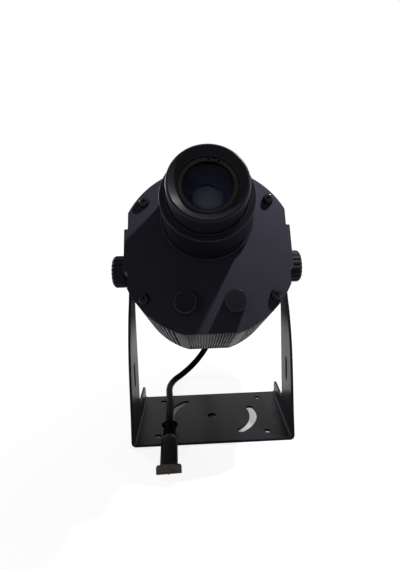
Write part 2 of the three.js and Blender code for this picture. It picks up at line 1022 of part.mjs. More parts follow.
// Control knob with the control behind the plate, about the control's own axis
function makeControl(side, sign) {
  const group = new THREE.Group();
  group.position.set(sign * control_x, -plate_front, control_z);
  const top = control_stand + control_height;
  const shaft_top = top - control_cap_wall - seat_gap;
  const bore = shaft_radius + seat_gap;
  const knob = turnedForward(
    [
      [0, top - control_cap_wall],
      [bore, top - control_cap_wall],
      [bore, control_stand + control_recess_depth],
      [control_recess_radius, control_stand + control_recess_depth],
      [control_recess_radius, control_stand],
      [control_radius, control_stand],
      [control_radius, top - control_bevel],
      [control_radius - control_bevel, top],
      [0, top],
    ],
    medium_round,
  );
  const behind = -plate_thickness - seat_gap;
  const control = turnedForward(
    [
      [0, behind - pot_depth],
      [pot_radius, behind - pot_depth],
      [pot_radius, behind],
      [pot_bush_radius, behind],
      [pot_bush_radius, seat_gap],
      [pot_nut_radius, seat_gap],
      [pot_nut_radius, seat_gap + pot_nut_height],
      [bore, seat_gap + pot_nut_height],
      [bore, behind - shaft_entry],
      [0, behind - shaft_entry],
    ],
    small_round,
  );
  const shaft = turnedForward(
    rod(shaft_radius, behind - shaft_entry + seat_gap, shaft_top),
    small_round,
  );
  group.add(
    piece("control_knob_" + side, knob, black_plastic()),
    piece("potentiometer_" + side, control, bare_steel()),
    piece("control_shaft_" + side, shaft, bare_steel()),
  );
  return group;
}

// Bulkhead that carries the turning gobo and its motor
const gear_pitch_radius = (gear_tooth_count * gear_module) / 2;
const pinion_pitch_radius = (pinion_tooth_count * gear_module) / 2;
const pinion_axis = lens_axis - gear_pitch_radius - pinion_pitch_radius;
const gear_rear = stage_front + seat_gap;
const gear_front = gear_rear + gear_thickness;
const hub_front = stage_front + stage_hub_height;
const cup_rear = hub_front + seat_gap;
const cup_front = cup_rear + gear_front_wall;
const gobo_rear = cup_front + seat_gap;
const gobo_front = gobo_rear + gobo_thickness;
const gobo_clip_rear = gobo_front + seat_gap;
const gobo_clip_front = gobo_clip_rear + gobo_clip_thickness;

function bulkheadDisc(from, to) {
  return cut(
    turnedForward(rod(bulkhead_radius, from, to), fine_round),
    ...screw_places.map(([x, z]) =>
      prismForward(
        circleShape(screw_boss_radius + 2 * seat_gap, x, z),
        from - overrun,
        to + overrun,
        tiny_round,
      ),
    ),
  );
}

function onLensAxis(geometry) {
  return geometry.translate(0, 0, lens_axis);
}

function makeGoboStage() {
  const rear = stage_front - stage_thickness;
  const hub = onLensAxis(turnedForward(rod(stage_hub_radius, rear, hub_front), fine_round));
  const window_hole = onLensAxis(
    turnedForward(rod(stage_window_radius, rear - overrun, hub_front + overrun), fine_round),
  );
  const shaft_hole = turnedForward(
    rod(motor_shaft_radius + 2 * seat_gap, rear - overrun, stage_front + overrun),
    tiny_round,
  ).translate(0, 0, pinion_axis);
  return piece(
    "gobo_stage",
    cut(join(bulkheadDisc(rear, stage_front), hub), window_hole, shaft_hole),
    bare_aluminium(),
  );
}

function makeGoboGear() {
  const bore = stage_hub_radius + running_gap;
  const outline = gearShape(gear_tooth_count, gear_module, gear_clearance, -Math.PI / 2);
  const teeth = prismForward(outline, gear_rear, gear_front);
  const cup = turnedForward(
    [
      [0, gear_rear],
      [bore + gobo_cup_wall, gear_rear],
      [bore + gobo_cup_wall, cup_front],
      [gobo_radius + seat_gap + gobo_cup_wall, gobo_clip_front],
      [0, gobo_clip_front],
    ],
    fine_round,
  );
  const hollow = turnedForward(
    [
      [0, gear_rear - overrun],
      [bore, gear_rear - overrun],
      [bore, cup_rear],
      [gobo_window_radius, cup_rear],
      [gobo_window_radius, cup_front],
      [gobo_radius + seat_gap, cup_front],
      [gobo_radius + seat_gap, gobo_clip_front + overrun],
      [0, gobo_clip_front + overrun],
    ],
    fine_round,
  );
  return piece("gobo_gear_ring", onLensAxis(cut(join(teeth, cup), hollow)), black_plastic());
}

function makeGoboDrive() {
  const rear = stage_front - stage_thickness - seat_gap;
  const pinion_hole = motor_shaft_radius + seat_gap;
  const phase = Math.PI / 2 + Math.PI / pinion_tooth_count;
  const pinion = cut(
    prismForward(gearShape(pinion_tooth_count, gear_module, gear_clearance, phase), gear_rear, gear_front),
    turnedForward(rod(pinion_hole, gear_rear - overrun, gear_front + overrun), tiny_round),
  );
  const motor = turnedForward(
    [
      [0, rear - motor_length],
      [motor_radius, rear - motor_length],
      [motor_radius, rear],
      [motor_shaft_radius, rear],
      [motor_shaft_radius, gear_front],
      [0, gear_front],
    ],
    small_round,
  );
  return [
    piece("gobo_pinion", pinion.translate(0, 0, pinion_axis), finish(0xd8d2c0, 0.6, 0)),
    piece("gobo_motor", motor.translate(0, 0, pinion_axis), bare_steel()),
    piece(
      "gobo_glass",
      onLensAxis(turnedForward(rod(gobo_radius, gobo_rear, gobo_front), medium_round)),
      finish(0x8b8f92, 0.2, 0.5),
    ),
    piece(
      "gobo_clip",
      onLensAxis(
        turnedForward(
          ring(gobo_radius - gobo_clip_width, gobo_radius, gobo_clip_rear, gobo_clip_front),
          medium_round,
        ),
      ),
      black_screw(),
    ),
  ];
}

// Heat sink bulkhead with fins that face the fan, and posts for the driver board
const sink_rear = sink_front - sink_thickness;

function makeHeatSink() {
  const fin_span = (sink_fin_count - 1) * sink_fin_pitch;
  const fins = Array.from({ length: sink_fin_count }, (_, i) =>
    prismForward(
      rectangleShape(
        sink_fin_thickness,
        sink_fin_top - sink_fin_bottom,
        i * sink_fin_pitch - fin_span / 2,
        (sink_fin_top + sink_fin_bottom) / 2,
      ),
      sink_rear - sink_fin_length,
      sink_rear + sink_thickness / 2,
    ),
  );
  const posts = [-post_x, post_x].flatMap((x) =>
    [-post_spread, post_spread].map((z) =>
      turnedForward(rod(post_radius, sink_rear - post_length, sink_rear + sink_thickness / 2), tiny_round)
        .translate(x, 0, board_centre + z),
    ),
  );
  return piece(
    "heat_sink",
    join(bulkheadDisc(sink_rear, sink_front), ...fins, ...posts),
    bare_aluminium(),
  );
}

function makeLightSource() {
  const rear = sink_front + seat_gap;
  const board = prismForward(rectangleShape(led_side, led_side), rear, rear + led_thickness);
  const dome = turnedForward(
    rod(led_dome_radius, rear + led_thickness / 2, rear + led_thickness + led_dome_height),
    small_round,
  );
  return piece("led_module", onLensAxis(join(board, dome)), finish(0xe6c65a, 0.5, 0));
}

function makeCondenser() {
  const rear = sink_front + seat_gap;
  const front = stage_front - stage_thickness - seat_gap;
  const bore = condenser_radius - condenser_wall;
  const lens_rear = rear + condenser_lens_set;
  const lens_front = lens_rear + condenser_lens_edge;
  const seat = lens_rear - seat_gap;
  const holder = turnedForward(
    [
      [bore - condenser_seat, seat - condenser_seat],
      [bore, seat - 2 * condenser_seat],
      [bore, rear],
      [condenser_radius, rear],
      [condenser_radius, front],
      [bore, front],
      [bore, seat],
      [bore - condenser_seat, seat],
    ],
    small_round,
  );
  const lens = turnedForward(
    lensProfile(bore - seat_gap, lens_rear, lens_front, condenser_lens_dome),
    small_round,
  );
  return [
    piece("condenser_holder", onLensAxis(holder), black_anodised()),
    piece("condenser_lens", onLensAxis(lens), clear_glass()),
  ];
}

function makeDriverBoard() {
  const front = sink_rear - post_length - seat_gap;
  const rear = front - board_thickness;
  const sheet_form = prismForward(rectangleShape(board_width, board_height), rear, front);
  const coil = prismForward(rectangleShape(coil_width, coil_height), rear - coil_depth, front);
  const capacitors = [-capacitor_x, capacitor_x].map((x) =>
    turnedForward(rod(capacitor_radius, rear - capacitor_length, front), small_round).translate(x, 0, 0),
  );
  return piece(
    "driver_board",
    join(sheet_form, coil, ...capacitors).translate(0, 0, board_centre),
    finish(0x1f5a3a, 0.6, 0),
  );
}

// Axial fan behind the rear cover
const fan_rear = cover_front + seat_gap;
const fan_front = fan_rear + fan_depth;
const strut_front = fan_rear + fan_strut_thickness;

function makeFan() {
  const group = new THREE.Group();
  group.position.z = fan_centre;
  const half = fan_side / 2;
  const near = half - fan_corner;
  const frame_shape = new THREE.Shape();
  frame_shape.absarc(near, near, fan_corner, 0, Math.PI / 2, false);
  frame_shape.absarc(-near, near, fan_corner, Math.PI / 2, Math.PI, false);
  frame_shape.absarc(-near, -near, fan_corner, Math.PI, Math.PI * 1.5, false);
  frame_shape.absarc(near, -near, fan_corner, Math.PI * 1.5, turn, false);
  const rim = cut(
    prismForward(frame_shape, fan_rear, fan_front, vent_facet_count),
    prismForward(circleShape(fan_bore_radius), fan_rear - overrun, fan_front + overrun, medium_round),
  );
  const strut_length = 2 * (fan_bore_radius + fan_strut_bury);
  const struts = Array.from({ length: fan_strut_count / 2 }, (_, i) =>
    prismForward(rectangleShape(strut_length, fan_strut_width), fan_rear, strut_front)
      .rotateY((turn * (i + 0.5)) / fan_strut_count),
  );
  const stator = turnedForward(rod(fan_hub_radius, fan_rear, strut_front), small_round);
  const axle = turnedForward(rod(fan_axle_radius, fan_rear, fan_front - fan_strut_thickness), tiny_round);
  const hub_rear = strut_front + seat_gap;
  const hub_front_face = fan_front - fan_hub_set;
  const hub = turnedForward(rod(fan_hub_radius, hub_rear, hub_front_face), small_round);
  const blade_root = fan_hub_radius - fan_blade_bury;
  const blade_length = fan_blade_radius - blade_root;
  const blades = Array.from({ length: fan_blade_count }, (_, i) => {
    const blade = new THREE.BoxGeometry(blade_length, fan_blade_thickness, fan_blade_chord);
    blade.rotateX(radians(fan_blade_angle));
    blade.translate(blade_root + blade_length / 2, -(hub_rear + hub_front_face) / 2, 0);
    return blade.rotateY((turn * i) / fan_blade_count);
  });
  const axle_hole = turnedForward(
    rod(fan_axle_radius + seat_gap, hub_rear - overrun, fan_front - fan_strut_thickness + seat_gap),
    tiny_round,
  );
  group.add(
    piece("fan_frame", join(rim, ...struts, stator, axle), black_plastic()),
    piece("fan_rotor", cut(join(hub, ...blades), axle_hole), black_plastic()),
  );
  return group;
}

// Rear cover: the same outline, vents in front of the fan and a hole for the gland
function ventShapes() {
  const shapes = [];
  for (let i = 0; i < vent_ring_count; i += 1) {
    const middle = vent_first_radius + i * vent_pitch;
    const [low, high] = [middle - vent_width / 2, middle + vent_width / 2];
    for (let k = 0; k < vent_sector_count; k += 1) {
      const start = (turn * k) / vent_sector_count + vent_spoke / 2 / middle;
      const end = (turn * (k + 1)) / vent_sector_count - vent_spoke / 2 / middle;
      const shape = new THREE.Shape();
      shape.absarc(0, fan_centre, high, start, end, false);
      shape.absarc(0, fan_centre, low, end, start, true);
      shapes.push(shape);
    }
  }
  return shapes;
}

function makeRearCover() {
  const shape = sectionShape();
  shape.holes.push(...ventShapes());
  const blank = prismForward(shape, cover_rear, cover_front, vent_facet_count);
  return piece(
    "rear_cover",
    cut(
      blank,
      prismForward(
        circleShape(gland_thread_radius + seat_gap, 0, gland_height),
        cover_rear - overrun,
        cover_front + overrun,
        small_round,
      ),
      ...screwHoles(cover_rear - overrun, cover_front + overrun),
    ),
    black_paint(),
  );
}

// Cable gland with its tapered bend relief, measured rearward from the cover's outer face
function hexagon(radius) {
  return polygonShape(
    Array.from({ length: hex_side_count }, (_, i) => [
      radius * Math.cos((turn * i) / hex_side_count),
      radius * Math.sin((turn * i) / hex_side_count),
    ]),
  );
}

const gland_nut_start = seat_gap + gland_hex_depth + seat_gap;
const gland_nut_end = gland_nut_start + gland_nut_length;
const gland_boot_start = gland_nut_end + seat_gap;
const gland_end = gland_boot_start + gland_boot_length;

function makeGland() {
  const group = new THREE.Group();
  group.position.set(0, -cover_rear, gland_height);
  group.rotation.x = Math.PI;
  const inside = -cover_thickness - seat_gap;
  const hex = prismForward(hexagon(gland_hex_radius), seat_gap, seat_gap + gland_hex_depth);
  const locknut = prismForward(hexagon(gland_hex_radius), inside - gland_locknut_depth, inside);
  const thread = turnedForward(
    rod(gland_thread_radius, inside - gland_locknut_depth, gland_nut_start + gland_nut_length / 2),
    small_round,
  );
  const inner = gland_thread_radius + seat_gap;
  const throat = gland_boot_throat_radius + seat_gap;
  const boot_root = gland_nut_start + gland_nut_length / 2 + seat_gap;
  const dome = [];
  for (let i = 0; i <= 3; i += 1) {
    const angle = (Math.PI / 2) * (i / 3);
    dome.push([
      gland_nut_nose + (gland_nut_radius - gland_nut_nose) * Math.cos(angle),
      gland_nut_end - gland_nut_nose + gland_nut_nose * Math.sin(angle),
    ]);
  }
  const nut_turned = turnedForward(
    [
      [inner, gland_nut_start],
      [gland_nut_radius, gland_nut_start],
      ...dome,
      [throat, gland_nut_end],
      [throat, boot_root],
      [inner, boot_root],
    ],
    small_round,
  );
  const boot = turnedForward(
    [
      [0, boot_root],
      [gland_boot_throat_radius, boot_root],
      [gland_boot_throat_radius, gland_boot_start],
      [gland_boot_base_radius, gland_boot_start],
      [gland_boot_base_radius, gland_boot_start + gland_boot_collar],
      [gland_boot_tip_radius, gland_end],
      [0, gland_end],
    ],
    small_round,
  );
  group.add(
    piece("gland_body", join(hex, locknut, thread), black_plastic()),
    piece("gland_nut", nut_turned, black_plastic()),
    piece("gland_boot", boot, black_rubber()),
  );
  return group;
}

// A skin over oval or squarish sections along the axis, each with its half width, half height,
// distance and exponent
function lofted(sections, facets = medium_round) {
  const positions = [];
  const indices = [];
  const bulge = (value, power) => Math.sign(value) * Math.abs(value) ** (2 / power);
  for (const [wide, high, along, power] of sections) {
    for (let k = 0; k < facets; k += 1) {
      const angle = (turn * k) / facets;
      positions.push(
        wide * bulge(Math.cos(angle), power),
        -along,
        high * bulge(Math.sin(angle), power),
      );
    }
  }
  const last = sections.length - 1;
  positions.push(0, -sections[0][2], 0, 0, -sections[last][2], 0);
  const rear_centre = facets * sections.length;
  const front_centre = rear_centre + 1;
  for (let k = 0; k < facets; k += 1) {
    const next = (k + 1) % facets;
    for (let row = 0; row < last; row += 1) {
      const low = facets * row;
      const high = low + facets;
      indices.push(low + k, low + next, high + next, low + k, high + next, high + k);
    }
    const front = facets * last;
    indices.push(rear_centre, next, k, front_centre, front + k, front + next);
  }
  const geometry = new THREE.BufferGeometry();
  geometry.setAttribute("position", new THREE.Float32BufferAttribute(positions, 3));
  geometry.setIndex(indices);
  return geometry;
}

// In-line connector: ribbed tail, flat shell with an end flange, and the cap nut over its contact,
// along its own axis toward the front
const shell_start = tail_length + seat_gap;
const shell_end = shell_start + shell_length;
const flange_end = shell_end + end_flange_thickness;
const nut_start = flange_end + seat_gap;
const nut_inside = flange_end + nose_length + seat_gap;

function tailSections() {
  const wide = tail_width / 2;
  const high = tail_height / 2;
  const collar = tail_collar_width / 2;
  const sections = [
    [collar - tail_rib_depth, high, 0, oval_power],
    [collar, high, tail_rib_depth, oval_power],
    [collar, high, tail_collar, oval_power],
    [wide - tail_rib_depth, high - tail_rib_depth, tail_collar, oval_power],
  ];
  for (let i = 0; i < tail_rib_count; i += 1) {
    const low = tail_collar + tail_rib_gap + i * tail_rib_pitch;
    const top = low + tail_rib_pitch - tail_rib_gap;
    sections.push(
      [wide - tail_rib_depth, high - tail_rib_depth, low, oval_power],
      [wide, high, low, oval_power],
      [wide, high, top, oval_power],
      [wide - tail_rib_depth, high - tail_rib_depth, top, oval_power],
    );
  }
  sections.push([wide - tail_rib_depth, high - tail_rib_depth, tail_length, oval_power]);
  return sections;
}

function makeConnector() {
  const group = new THREE.Group();
  group.position.set(connector_x, connector_y, connector_height);
  group.rotation.set(radians(connector_pitch), 0, radians(connector_yaw), "ZXY");
  const rear_high = tail_height / 2;
  const front_high = shell_nose_height / 2;
  const shell = lofted([
    [tail_width / 2, rear_high, shell_start, oval_power],
    [shell_width / 2, rear_high, shell_start + shell_shoulder, shell_power],
    [shell_width / 2, front_high, shell_end + seat_gap, shell_power],
  ]);
  const half = end_flange_width / 2;
  const rise = end_flange_height / 2;
  const corner = end_flange_corner;
  const outline = new THREE.Shape();
  outline.moveTo(-half, -rise);
  outline.lineTo(half, -rise);
  outline.lineTo(half, rise - corner);
  outline.absarc(half - corner, rise - corner, corner, 0, Math.PI / 2, false);
  outline.absarc(corner - half, rise - corner, corner, Math.PI / 2, Math.PI, false);
  const flange = prismForward(outline, shell_end, flange_end);
  const nose = turnedForward(rod(nose_radius, shell_end, flange_end + nose_length), tiny_round);
  const bore = nose_radius + running_gap;
  const outer = bore + nut_wall;
  const nut_end = nut_inside + nut_end_wall;
  const nut = turnedForward(
    [
      [0, nut_inside],
      [bore, nut_inside],
      [bore, nut_start],
      [outer, nut_start],
      [outer, nut_end - nut_bevel],
      [outer - nut_bevel, nut_end],
      [0, nut_end],
    ],
    medium_round,
  );
  group.add(
    piece("connector_tail", lofted(tailSections()), black_rubber()),
    piece("connector_shell", join(shell, flange, nose), black_plastic()),
    piece("connector_nut", nut, olive_plastic()),
  );
  return group;
}

// The lead starts square to the gland's relief and ends square to the connector's tail
function leadPoints() {
  const rearward = new THREE.Vector3(0, Math.cos(tilt), -Math.sin(tilt));
  const upward = new THREE.Vector3(0, Math.sin(tilt), Math.cos(tilt));
  const start = new THREE.Vector3(0, 0, pivot_height)
    .addScaledVector(rearward, gland_end + seat_gap - cover_rear)
    .addScaledVector(upward, gland_height);
  const end = new THREE.Vector3(connector_x, connector_y, connector_height);
  const backward = new THREE.Vector3(0, 1, 0).applyEuler(
    new THREE.Euler(radians(connector_pitch), 0, radians(connector_yaw), "ZXY"),
  );
  end.addScaledVector(backward, seat_gap);
  return [
    start,
    start.clone().addScaledVector(rearward, 2 * lead_radius),
    ...lead_route.map((point) => new THREE.Vector3(...point)),
    end.clone().addScaledVector(backward, 2 * lead_radius),
    end,
  ];
}

function makeLead() {
  const curve = new THREE.CatmullRomCurve3(leadPoints(), false, "centripetal");
  const section = polygonShape(
    Array.from({ length: lead_side_count }, (_, i) => [
      lead_radius * Math.cos((turn * i) / lead_side_count),
      lead_radius * Math.sin((turn * i) / lead_side_count),
    ]),
  );
  const geometry = new THREE.ExtrudeGeometry(section, { steps: lead_step_count, extrudePath: curve });
  return piece("power_lead", geometry, black_rubber());
}

const head = new THREE.Group();
head.position.z = pivot_height;
head.rotation.x = -tilt;
head.add(
  makeHousing(),
  gasket("front_gasket", body_front + seat_gap),
  makeFrontPlate(),
  ...makeScrews("front_screw_", plate_front, 1),
  gasket("rear_gasket", cover_front + seat_gap),
  makeRearCover(),
  ...makeScrews("rear_screw_", cover_rear, -1),
  makeLensGroup(),
  ...sides.map(([side, sign]) => makeControl(side, sign)),
  makeGoboStage(),
  makeGoboGear(),
  ...makeGoboDrive(),
  makeHeatSink(),
  makeLightSource(),
  ...makeCondenser(),
  makeDriverBoard(),
  makeFan(),
  makeGland(),
);

const object = new THREE.Group();
object.add(makeYoke(), ...sides.map(([side, sign]) => makeTiltHardware(side, sign)), head);

// The box round everything but the lead and its connector sets the origin in depth
const projector = new THREE.Group();
object.updateMatrixWorld(true);
const middle = new THREE.Box3().setFromObject(object, true).getCenter(new THREE.Vector3());
object.add(makeConnector(), makeLead());
object.position.y = -middle.y;
projector.add(object);

export default projector;
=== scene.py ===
"""Looks of a gobo projector: fine surfaces, finishes, the power lead, studio light and the camera.

Sizes are in millimetres, and become metres where a mesh is made. Pieces of the head are made in its own
frame, from the pivot: x to the right, y up across the head, z forward along the optical axis.
"""

import json
import math

import bmesh
import bpy
from mathutils import Matrix, Vector


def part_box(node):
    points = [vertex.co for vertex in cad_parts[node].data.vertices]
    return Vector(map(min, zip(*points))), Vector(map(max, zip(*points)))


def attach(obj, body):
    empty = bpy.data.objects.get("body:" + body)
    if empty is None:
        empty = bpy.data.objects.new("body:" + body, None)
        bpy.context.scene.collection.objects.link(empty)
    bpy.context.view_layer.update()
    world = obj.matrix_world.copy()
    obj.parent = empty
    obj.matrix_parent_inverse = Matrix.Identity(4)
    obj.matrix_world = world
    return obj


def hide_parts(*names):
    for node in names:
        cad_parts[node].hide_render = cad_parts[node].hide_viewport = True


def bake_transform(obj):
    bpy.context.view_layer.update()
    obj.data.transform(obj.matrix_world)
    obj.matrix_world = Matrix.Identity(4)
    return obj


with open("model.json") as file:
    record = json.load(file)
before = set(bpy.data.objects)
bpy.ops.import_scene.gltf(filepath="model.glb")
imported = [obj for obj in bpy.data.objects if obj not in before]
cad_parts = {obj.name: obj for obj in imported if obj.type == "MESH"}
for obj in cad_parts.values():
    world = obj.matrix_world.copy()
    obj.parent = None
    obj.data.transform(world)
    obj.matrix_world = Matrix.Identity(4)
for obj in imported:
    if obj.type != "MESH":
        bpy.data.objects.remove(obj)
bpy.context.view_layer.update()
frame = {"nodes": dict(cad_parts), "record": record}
nodes = frame["nodes"]

MM = 0.001
TURN = 2 * math.pi
ORIGIN = Matrix.Identity(4)
SIDES = (("left", -1), ("right", 1))

# The yoke's centre in depth, from the frame, and the head's pivot
yoke_low, yoke_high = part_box("u_bracket")
BASE_Y = (yoke_low.y + yoke_high.y) / 2
PIVOT_HEIGHT = 170
HEAD_TILT = math.radians(23.5)

BASE = Matrix.Translation((0, BASE_Y, 0))
HEAD = (
    BASE
    @ Matrix.Translation((0, 0, PIVOT_HEIGHT * MM))
    @ Matrix.Rotation(math.pi / 2 - HEAD_TILT, 4, "X")
)

# Yoke
SHEET = 2.5
YOKE_WIDTH = 165
YOKE_DEPTH = 112
YOKE_BEND = 2.5
SKIRT_HEIGHT = 18
SKIRT_CORNER = 8
ARM_REAR = 1
ARM_FILLET = 10
ARM_NECK = 118
ARM_HEAD_RADIUS = 17
ARM_HEAD_ANGLES = (-8, 153)
# Front edge of an arm, as shares of half the depth and of the pivot's height
ARM_FRONT = ((0.45, 0.87), (0.66, 0.745), (0.82, 0.595), (0.895, 0.44), (0.925, 0.3), (0.95, 0.17))
PIVOT_HOLE = 3.4
ARM_SLOT = {"set": 27, "low": 51.5, "length": 26, "width": 8}
BASE_HOLE_X, BASE_HOLE_Y, BASE_HOLE = 57, 40, 3.2
CENTRE_HOLE = 4.8
ARC_SLOT = {"radius": 46.5, "width": 8, "front": 49.8, "rear": 18.2}

# Head section and length, and the tube that the lens barrel slides in
BARREL_RADIUS = 34
GUIDE_IN = BARREL_RADIUS + 0.4
GUIDE_OUT = GUIDE_IN + 3.2
BODY_RADIUS = 82.7
BODY_FLAT = 79.3
LAND_SIDE = 77.7
LAND_HALF = 20.5
STEP_SIDE = 74.3
BORE = 73
BODY_LENGTH = 150
PLATE_FRONT = 78
PLATE = 4
GASKET = 1
SEAT = 0.3
GROOVES = {"flat": 16, "flat_margin": 1.39, "flat_width": 1.3, "flat_depth": 2.6,
           "arc": 11, "arc_width": 2.2, "arc_depth": 4.2, "arc_start": 31, "arc_end": 67.2,
           "flat_rounding": (0.25, 0.5), "arc_rounding": (0.35, 0.8)}
FLAT_HALF = math.sqrt(BODY_RADIUS**2 - BODY_FLAT**2)
SCREW = {"reach": 15, "radius": 1.9, "head": 5, "height": 3.8, "boss": 6}
SCREW_CIRCLE = BODY_RADIUS - 7.6
SCREW_ANGLE = math.radians(38.24)
SCREW_X, SCREW_Y = SCREW_CIRCLE * math.cos(SCREW_ANGLE), SCREW_CIRCLE * math.sin(SCREW_ANGLE)
LENS_AXIS = 30
CONTROL_X, CONTROL_Y, CONTROL_SHAFT = 22.2, -52, 3.9
FAN_CENTRE = 14
GLAND_Y, GLAND_THREAD = -55, 8
SEAL_INSET, SEAL_BORE = 1.5, BODY_RADIUS - 11.3

PLATE_REAR = PLATE_FRONT - PLATE
BODY_FRONT = PLATE_REAR - 2 * SEAT - GASKET
COVER_REAR = PLATE_FRONT - BODY_LENGTH
COVER_FRONT = COVER_REAR + PLATE
BODY_REAR = COVER_FRONT + 2 * SEAT + GASKET

# Lead and connector, measured from the yoke's base centre
LEAD_RADIUS = 4.2
LEAD_SKIN = 4
LEAD_STEPS = 14
LEAD_ROUTE = [
    (1.3, 100.9, 65.9), (2.5, 116.7, 55.8), (-1.2, 128.1, 41.6), (-10.5, 132.4, 26), (-23.3, 128.6, 13),
    (-36.5, 117.5, 5.7), (-46.1, 101.5, 4.6), (-50.7, 83.3, 5.3), (-51.4, 64.6, 6.7), (-50, 45.8, 8),
    (-48.3, 27.1, 9), (-47.1, 8.3, 9.8), (-46.3, -10.6, 10.3),
]
GLAND_HEX, GLAND_NUT, GLAND_BOOT = 5, 15, 22
GLAND_END = SEAT + GLAND_HEX + SEAT + GLAND_NUT + SEAT + GLAND_BOOT
CONNECTOR_PLACE = (-45.5, -29.7, 9.7)
CONNECTOR_YAW, CONNECTOR_PITCH = math.radians(2.5), math.radians(4)
CONNECTOR = (
    BASE
    @ Matrix.Translation(Vector(CONNECTOR_PLACE) * MM)
    @ Matrix.Rotation(CONNECTOR_YAW, 4, "Z")
    @ Matrix.Rotation(math.pi / 2 + CONNECTOR_PITCH, 4, "X")
)


def add_object(name, data):
    made = bpy.data.objects.new(name, data)
    bpy.context.scene.collection.objects.link(made)
    return made


# Camera: the photograph's viewpoint, in the frame of the yoke's base centre

PHOTO_HEIGHT = 570
PHOTO_MIDDLE_PX = (200, 285)
FOCAL_PX = 451.913
AXIS_PX = (216.001, 250.424)
EYE = (-9.953, -486.814, 246.11)
YAW, PITCH, ROLL = (math.radians(a) for a in (2.346, 6.58, 1.619))
SENSOR = 36


def make_camera():
    forward = Vector((math.sin(YAW) * math.cos(PITCH), math.cos(YAW) * math.cos(PITCH), -math.sin(PITCH)))
    level = Vector((math.cos(YAW), -math.sin(YAW), 0))
    down = forward.cross(level)
    right = math.cos(ROLL) * level + math.sin(ROLL) * down
    up = math.sin(ROLL) * level - math.cos(ROLL) * down
    data = bpy.data.cameras.new("camera")
    data.sensor_fit = "VERTICAL"
    data.sensor_height = SENSOR
    data.lens = FOCAL_PX / PHOTO_HEIGHT * SENSOR
    data.shift_x = (PHOTO_MIDDLE_PX[0] - AXIS_PX[0]) / PHOTO_HEIGHT
    data.shift_y = (AXIS_PX[1] - PHOTO_MIDDLE_PX[1]) / PHOTO_HEIGHT
    camera = add_object("camera", data)
    facing = Matrix((right, up, -forward)).transposed().to_4x4()
    camera.matrix_world = BASE @ Matrix.Translation(Vector(EYE) * MM) @ facing
    bpy.context.scene.camera = camera


make_camera()


# Materials

# Size of the soft patches of a finish, in millimetres, and how far its grain moves the roughness
PATCH_SIZE = 17
GRAIN_GLOSS = 0.04
PAINT_LUMP = (2.4, 0.012)
FIN_STRETCH = (1, 1, 0.04)
GLASS_TINT = ((0.55, 0.61, 0.61), (0.59, 0.64, 0.64))
GLASS_IOR, COATING_NM, COATING_IOR = 1.32, 147, 1.15
TINT_SIZE, SMEAR_SIZE = 30, 6


def give(socket, value):
    """Sets an input, or links it to an output of another node."""
    if isinstance(value, bpy.types.NodeSocket):
        socket.id_data.links.new(value, socket)
    else:
        socket.default_value = value


def set_up(made, **settings):
    """Gives a node its own settings and its inputs, by name."""
    for key, value in settings.items():
        if hasattr(made, key):
            setattr(made, key, value)
        else:
            give(made.inputs[key.replace("_", " ")], value)
    return made


def node(tree, kind, **settings):
    return set_up(tree.nodes.new(kind), **settings)


def maths(tree, operation, *values):
    made = node(tree, "ShaderNodeMath", operation=operation)
    for socket, value in zip(made.inputs, values):
        give(socket, value)
    return made.outputs[0]


def noise(tree, size, detail=2.0, stretch=None):
    """Noise of about that grain size in millimetres, in object space."""
    source = node(tree, "ShaderNodeTexCoord").outputs["Object"]
    if stretch:
        source = node(tree, "ShaderNodeMapping", Vector=source, Scale=stretch).outputs["Vector"]
    made = node(tree, "ShaderNodeTexNoise", Vector=source, Scale=1 / (size * MM), Detail=detail)
    return made.outputs["Fac"]


def spread(tree, value, low, high, from_low=0.3, from_high=0.7):
    """The value's range between from_low and from_high, as low to high."""
    made = node(tree, "ShaderNodeMapRange", Value=value, From_Min=from_low, From_Max=from_high)
    return set_up(made, To_Min=low, To_Max=high).outputs["Result"]


def blend_colours(tree, value, first, second):
    made = node(tree, "ShaderNodeMix", data_type="RGBA")
    give(made.inputs[0], value)
    give(made.inputs[6], (*first, 1))
    give(made.inputs[7], (*second, 1))
    return made.outputs[2]


def bumps(tree, heights):
    """Chains bump nodes: each entry is (height socket, depth in millimetres)."""
    normal = None
    for height, depth in heights:
        made = node(tree, "ShaderNodeBump", Height=height, Strength=1.0, Distance=depth * MM)
        if normal:
            give(made.inputs["Normal"], normal)
        normal = made.outputs["Normal"]
    return normal


def new_material(name):
    material = bpy.data.materials.new(name)
    material.use_nodes = True
    return material, material.node_tree, material.node_tree.nodes["Principled BSDF"]


def surface(name, colours, rough, grain, lump=None, stretch=None, **settings):
    """Two close colours in soft patches, uneven gloss, fine grain and wider lumps.

    grain and lump are (size, depth) in millimetres.
    """
    material, tree, shader = new_material(name)
    patches = noise(tree, PATCH_SIZE, detail=3)
    fine = noise(tree, grain[0], stretch=stretch)
    heights = [(fine, grain[1])]
    if lump:
        heights.append((noise(tree, lump[0], detail=1), lump[1]))
    gloss = maths(tree, "ADD", spread(tree, patches, *rough), spread(tree, fine, -GRAIN_GLOSS, GRAIN_GLOSS))
    tint = blend_colours(tree, spread(tree, patches, 0, 1), *colours)
    set_up(shader, Base_Color=tint, Roughness=gloss, Normal=bumps(tree, heights), **settings)
    return material


def coated_glass():
    """Clear glass under an anti-reflection coating, whose colour shifts a little over the face."""
    material, tree, shader = new_material("coated_glass")
    tint = blend_colours(tree, spread(tree, noise(tree, TINT_SIZE, detail=1), 0, 1), *GLASS_TINT)
    smears = spread(tree, noise(tree, SMEAR_SIZE, detail=3), 0.01, 0.03)
    set_up(shader, Base_Color=tint, Roughness=smears, Transmission_Weight=1, IOR=GLASS_IOR)
    set_up(shader, Thin_Film_Thickness=COATING_NM, Thin_Film_IOR=COATING_IOR)
    return material


def cool(value, blue=1.38):
    """A near black with the faint violet cast of the photographed finish."""
    return (value * 1.06, value, value * blue)


def grey(value):
    return (value, value * 0.98, value)


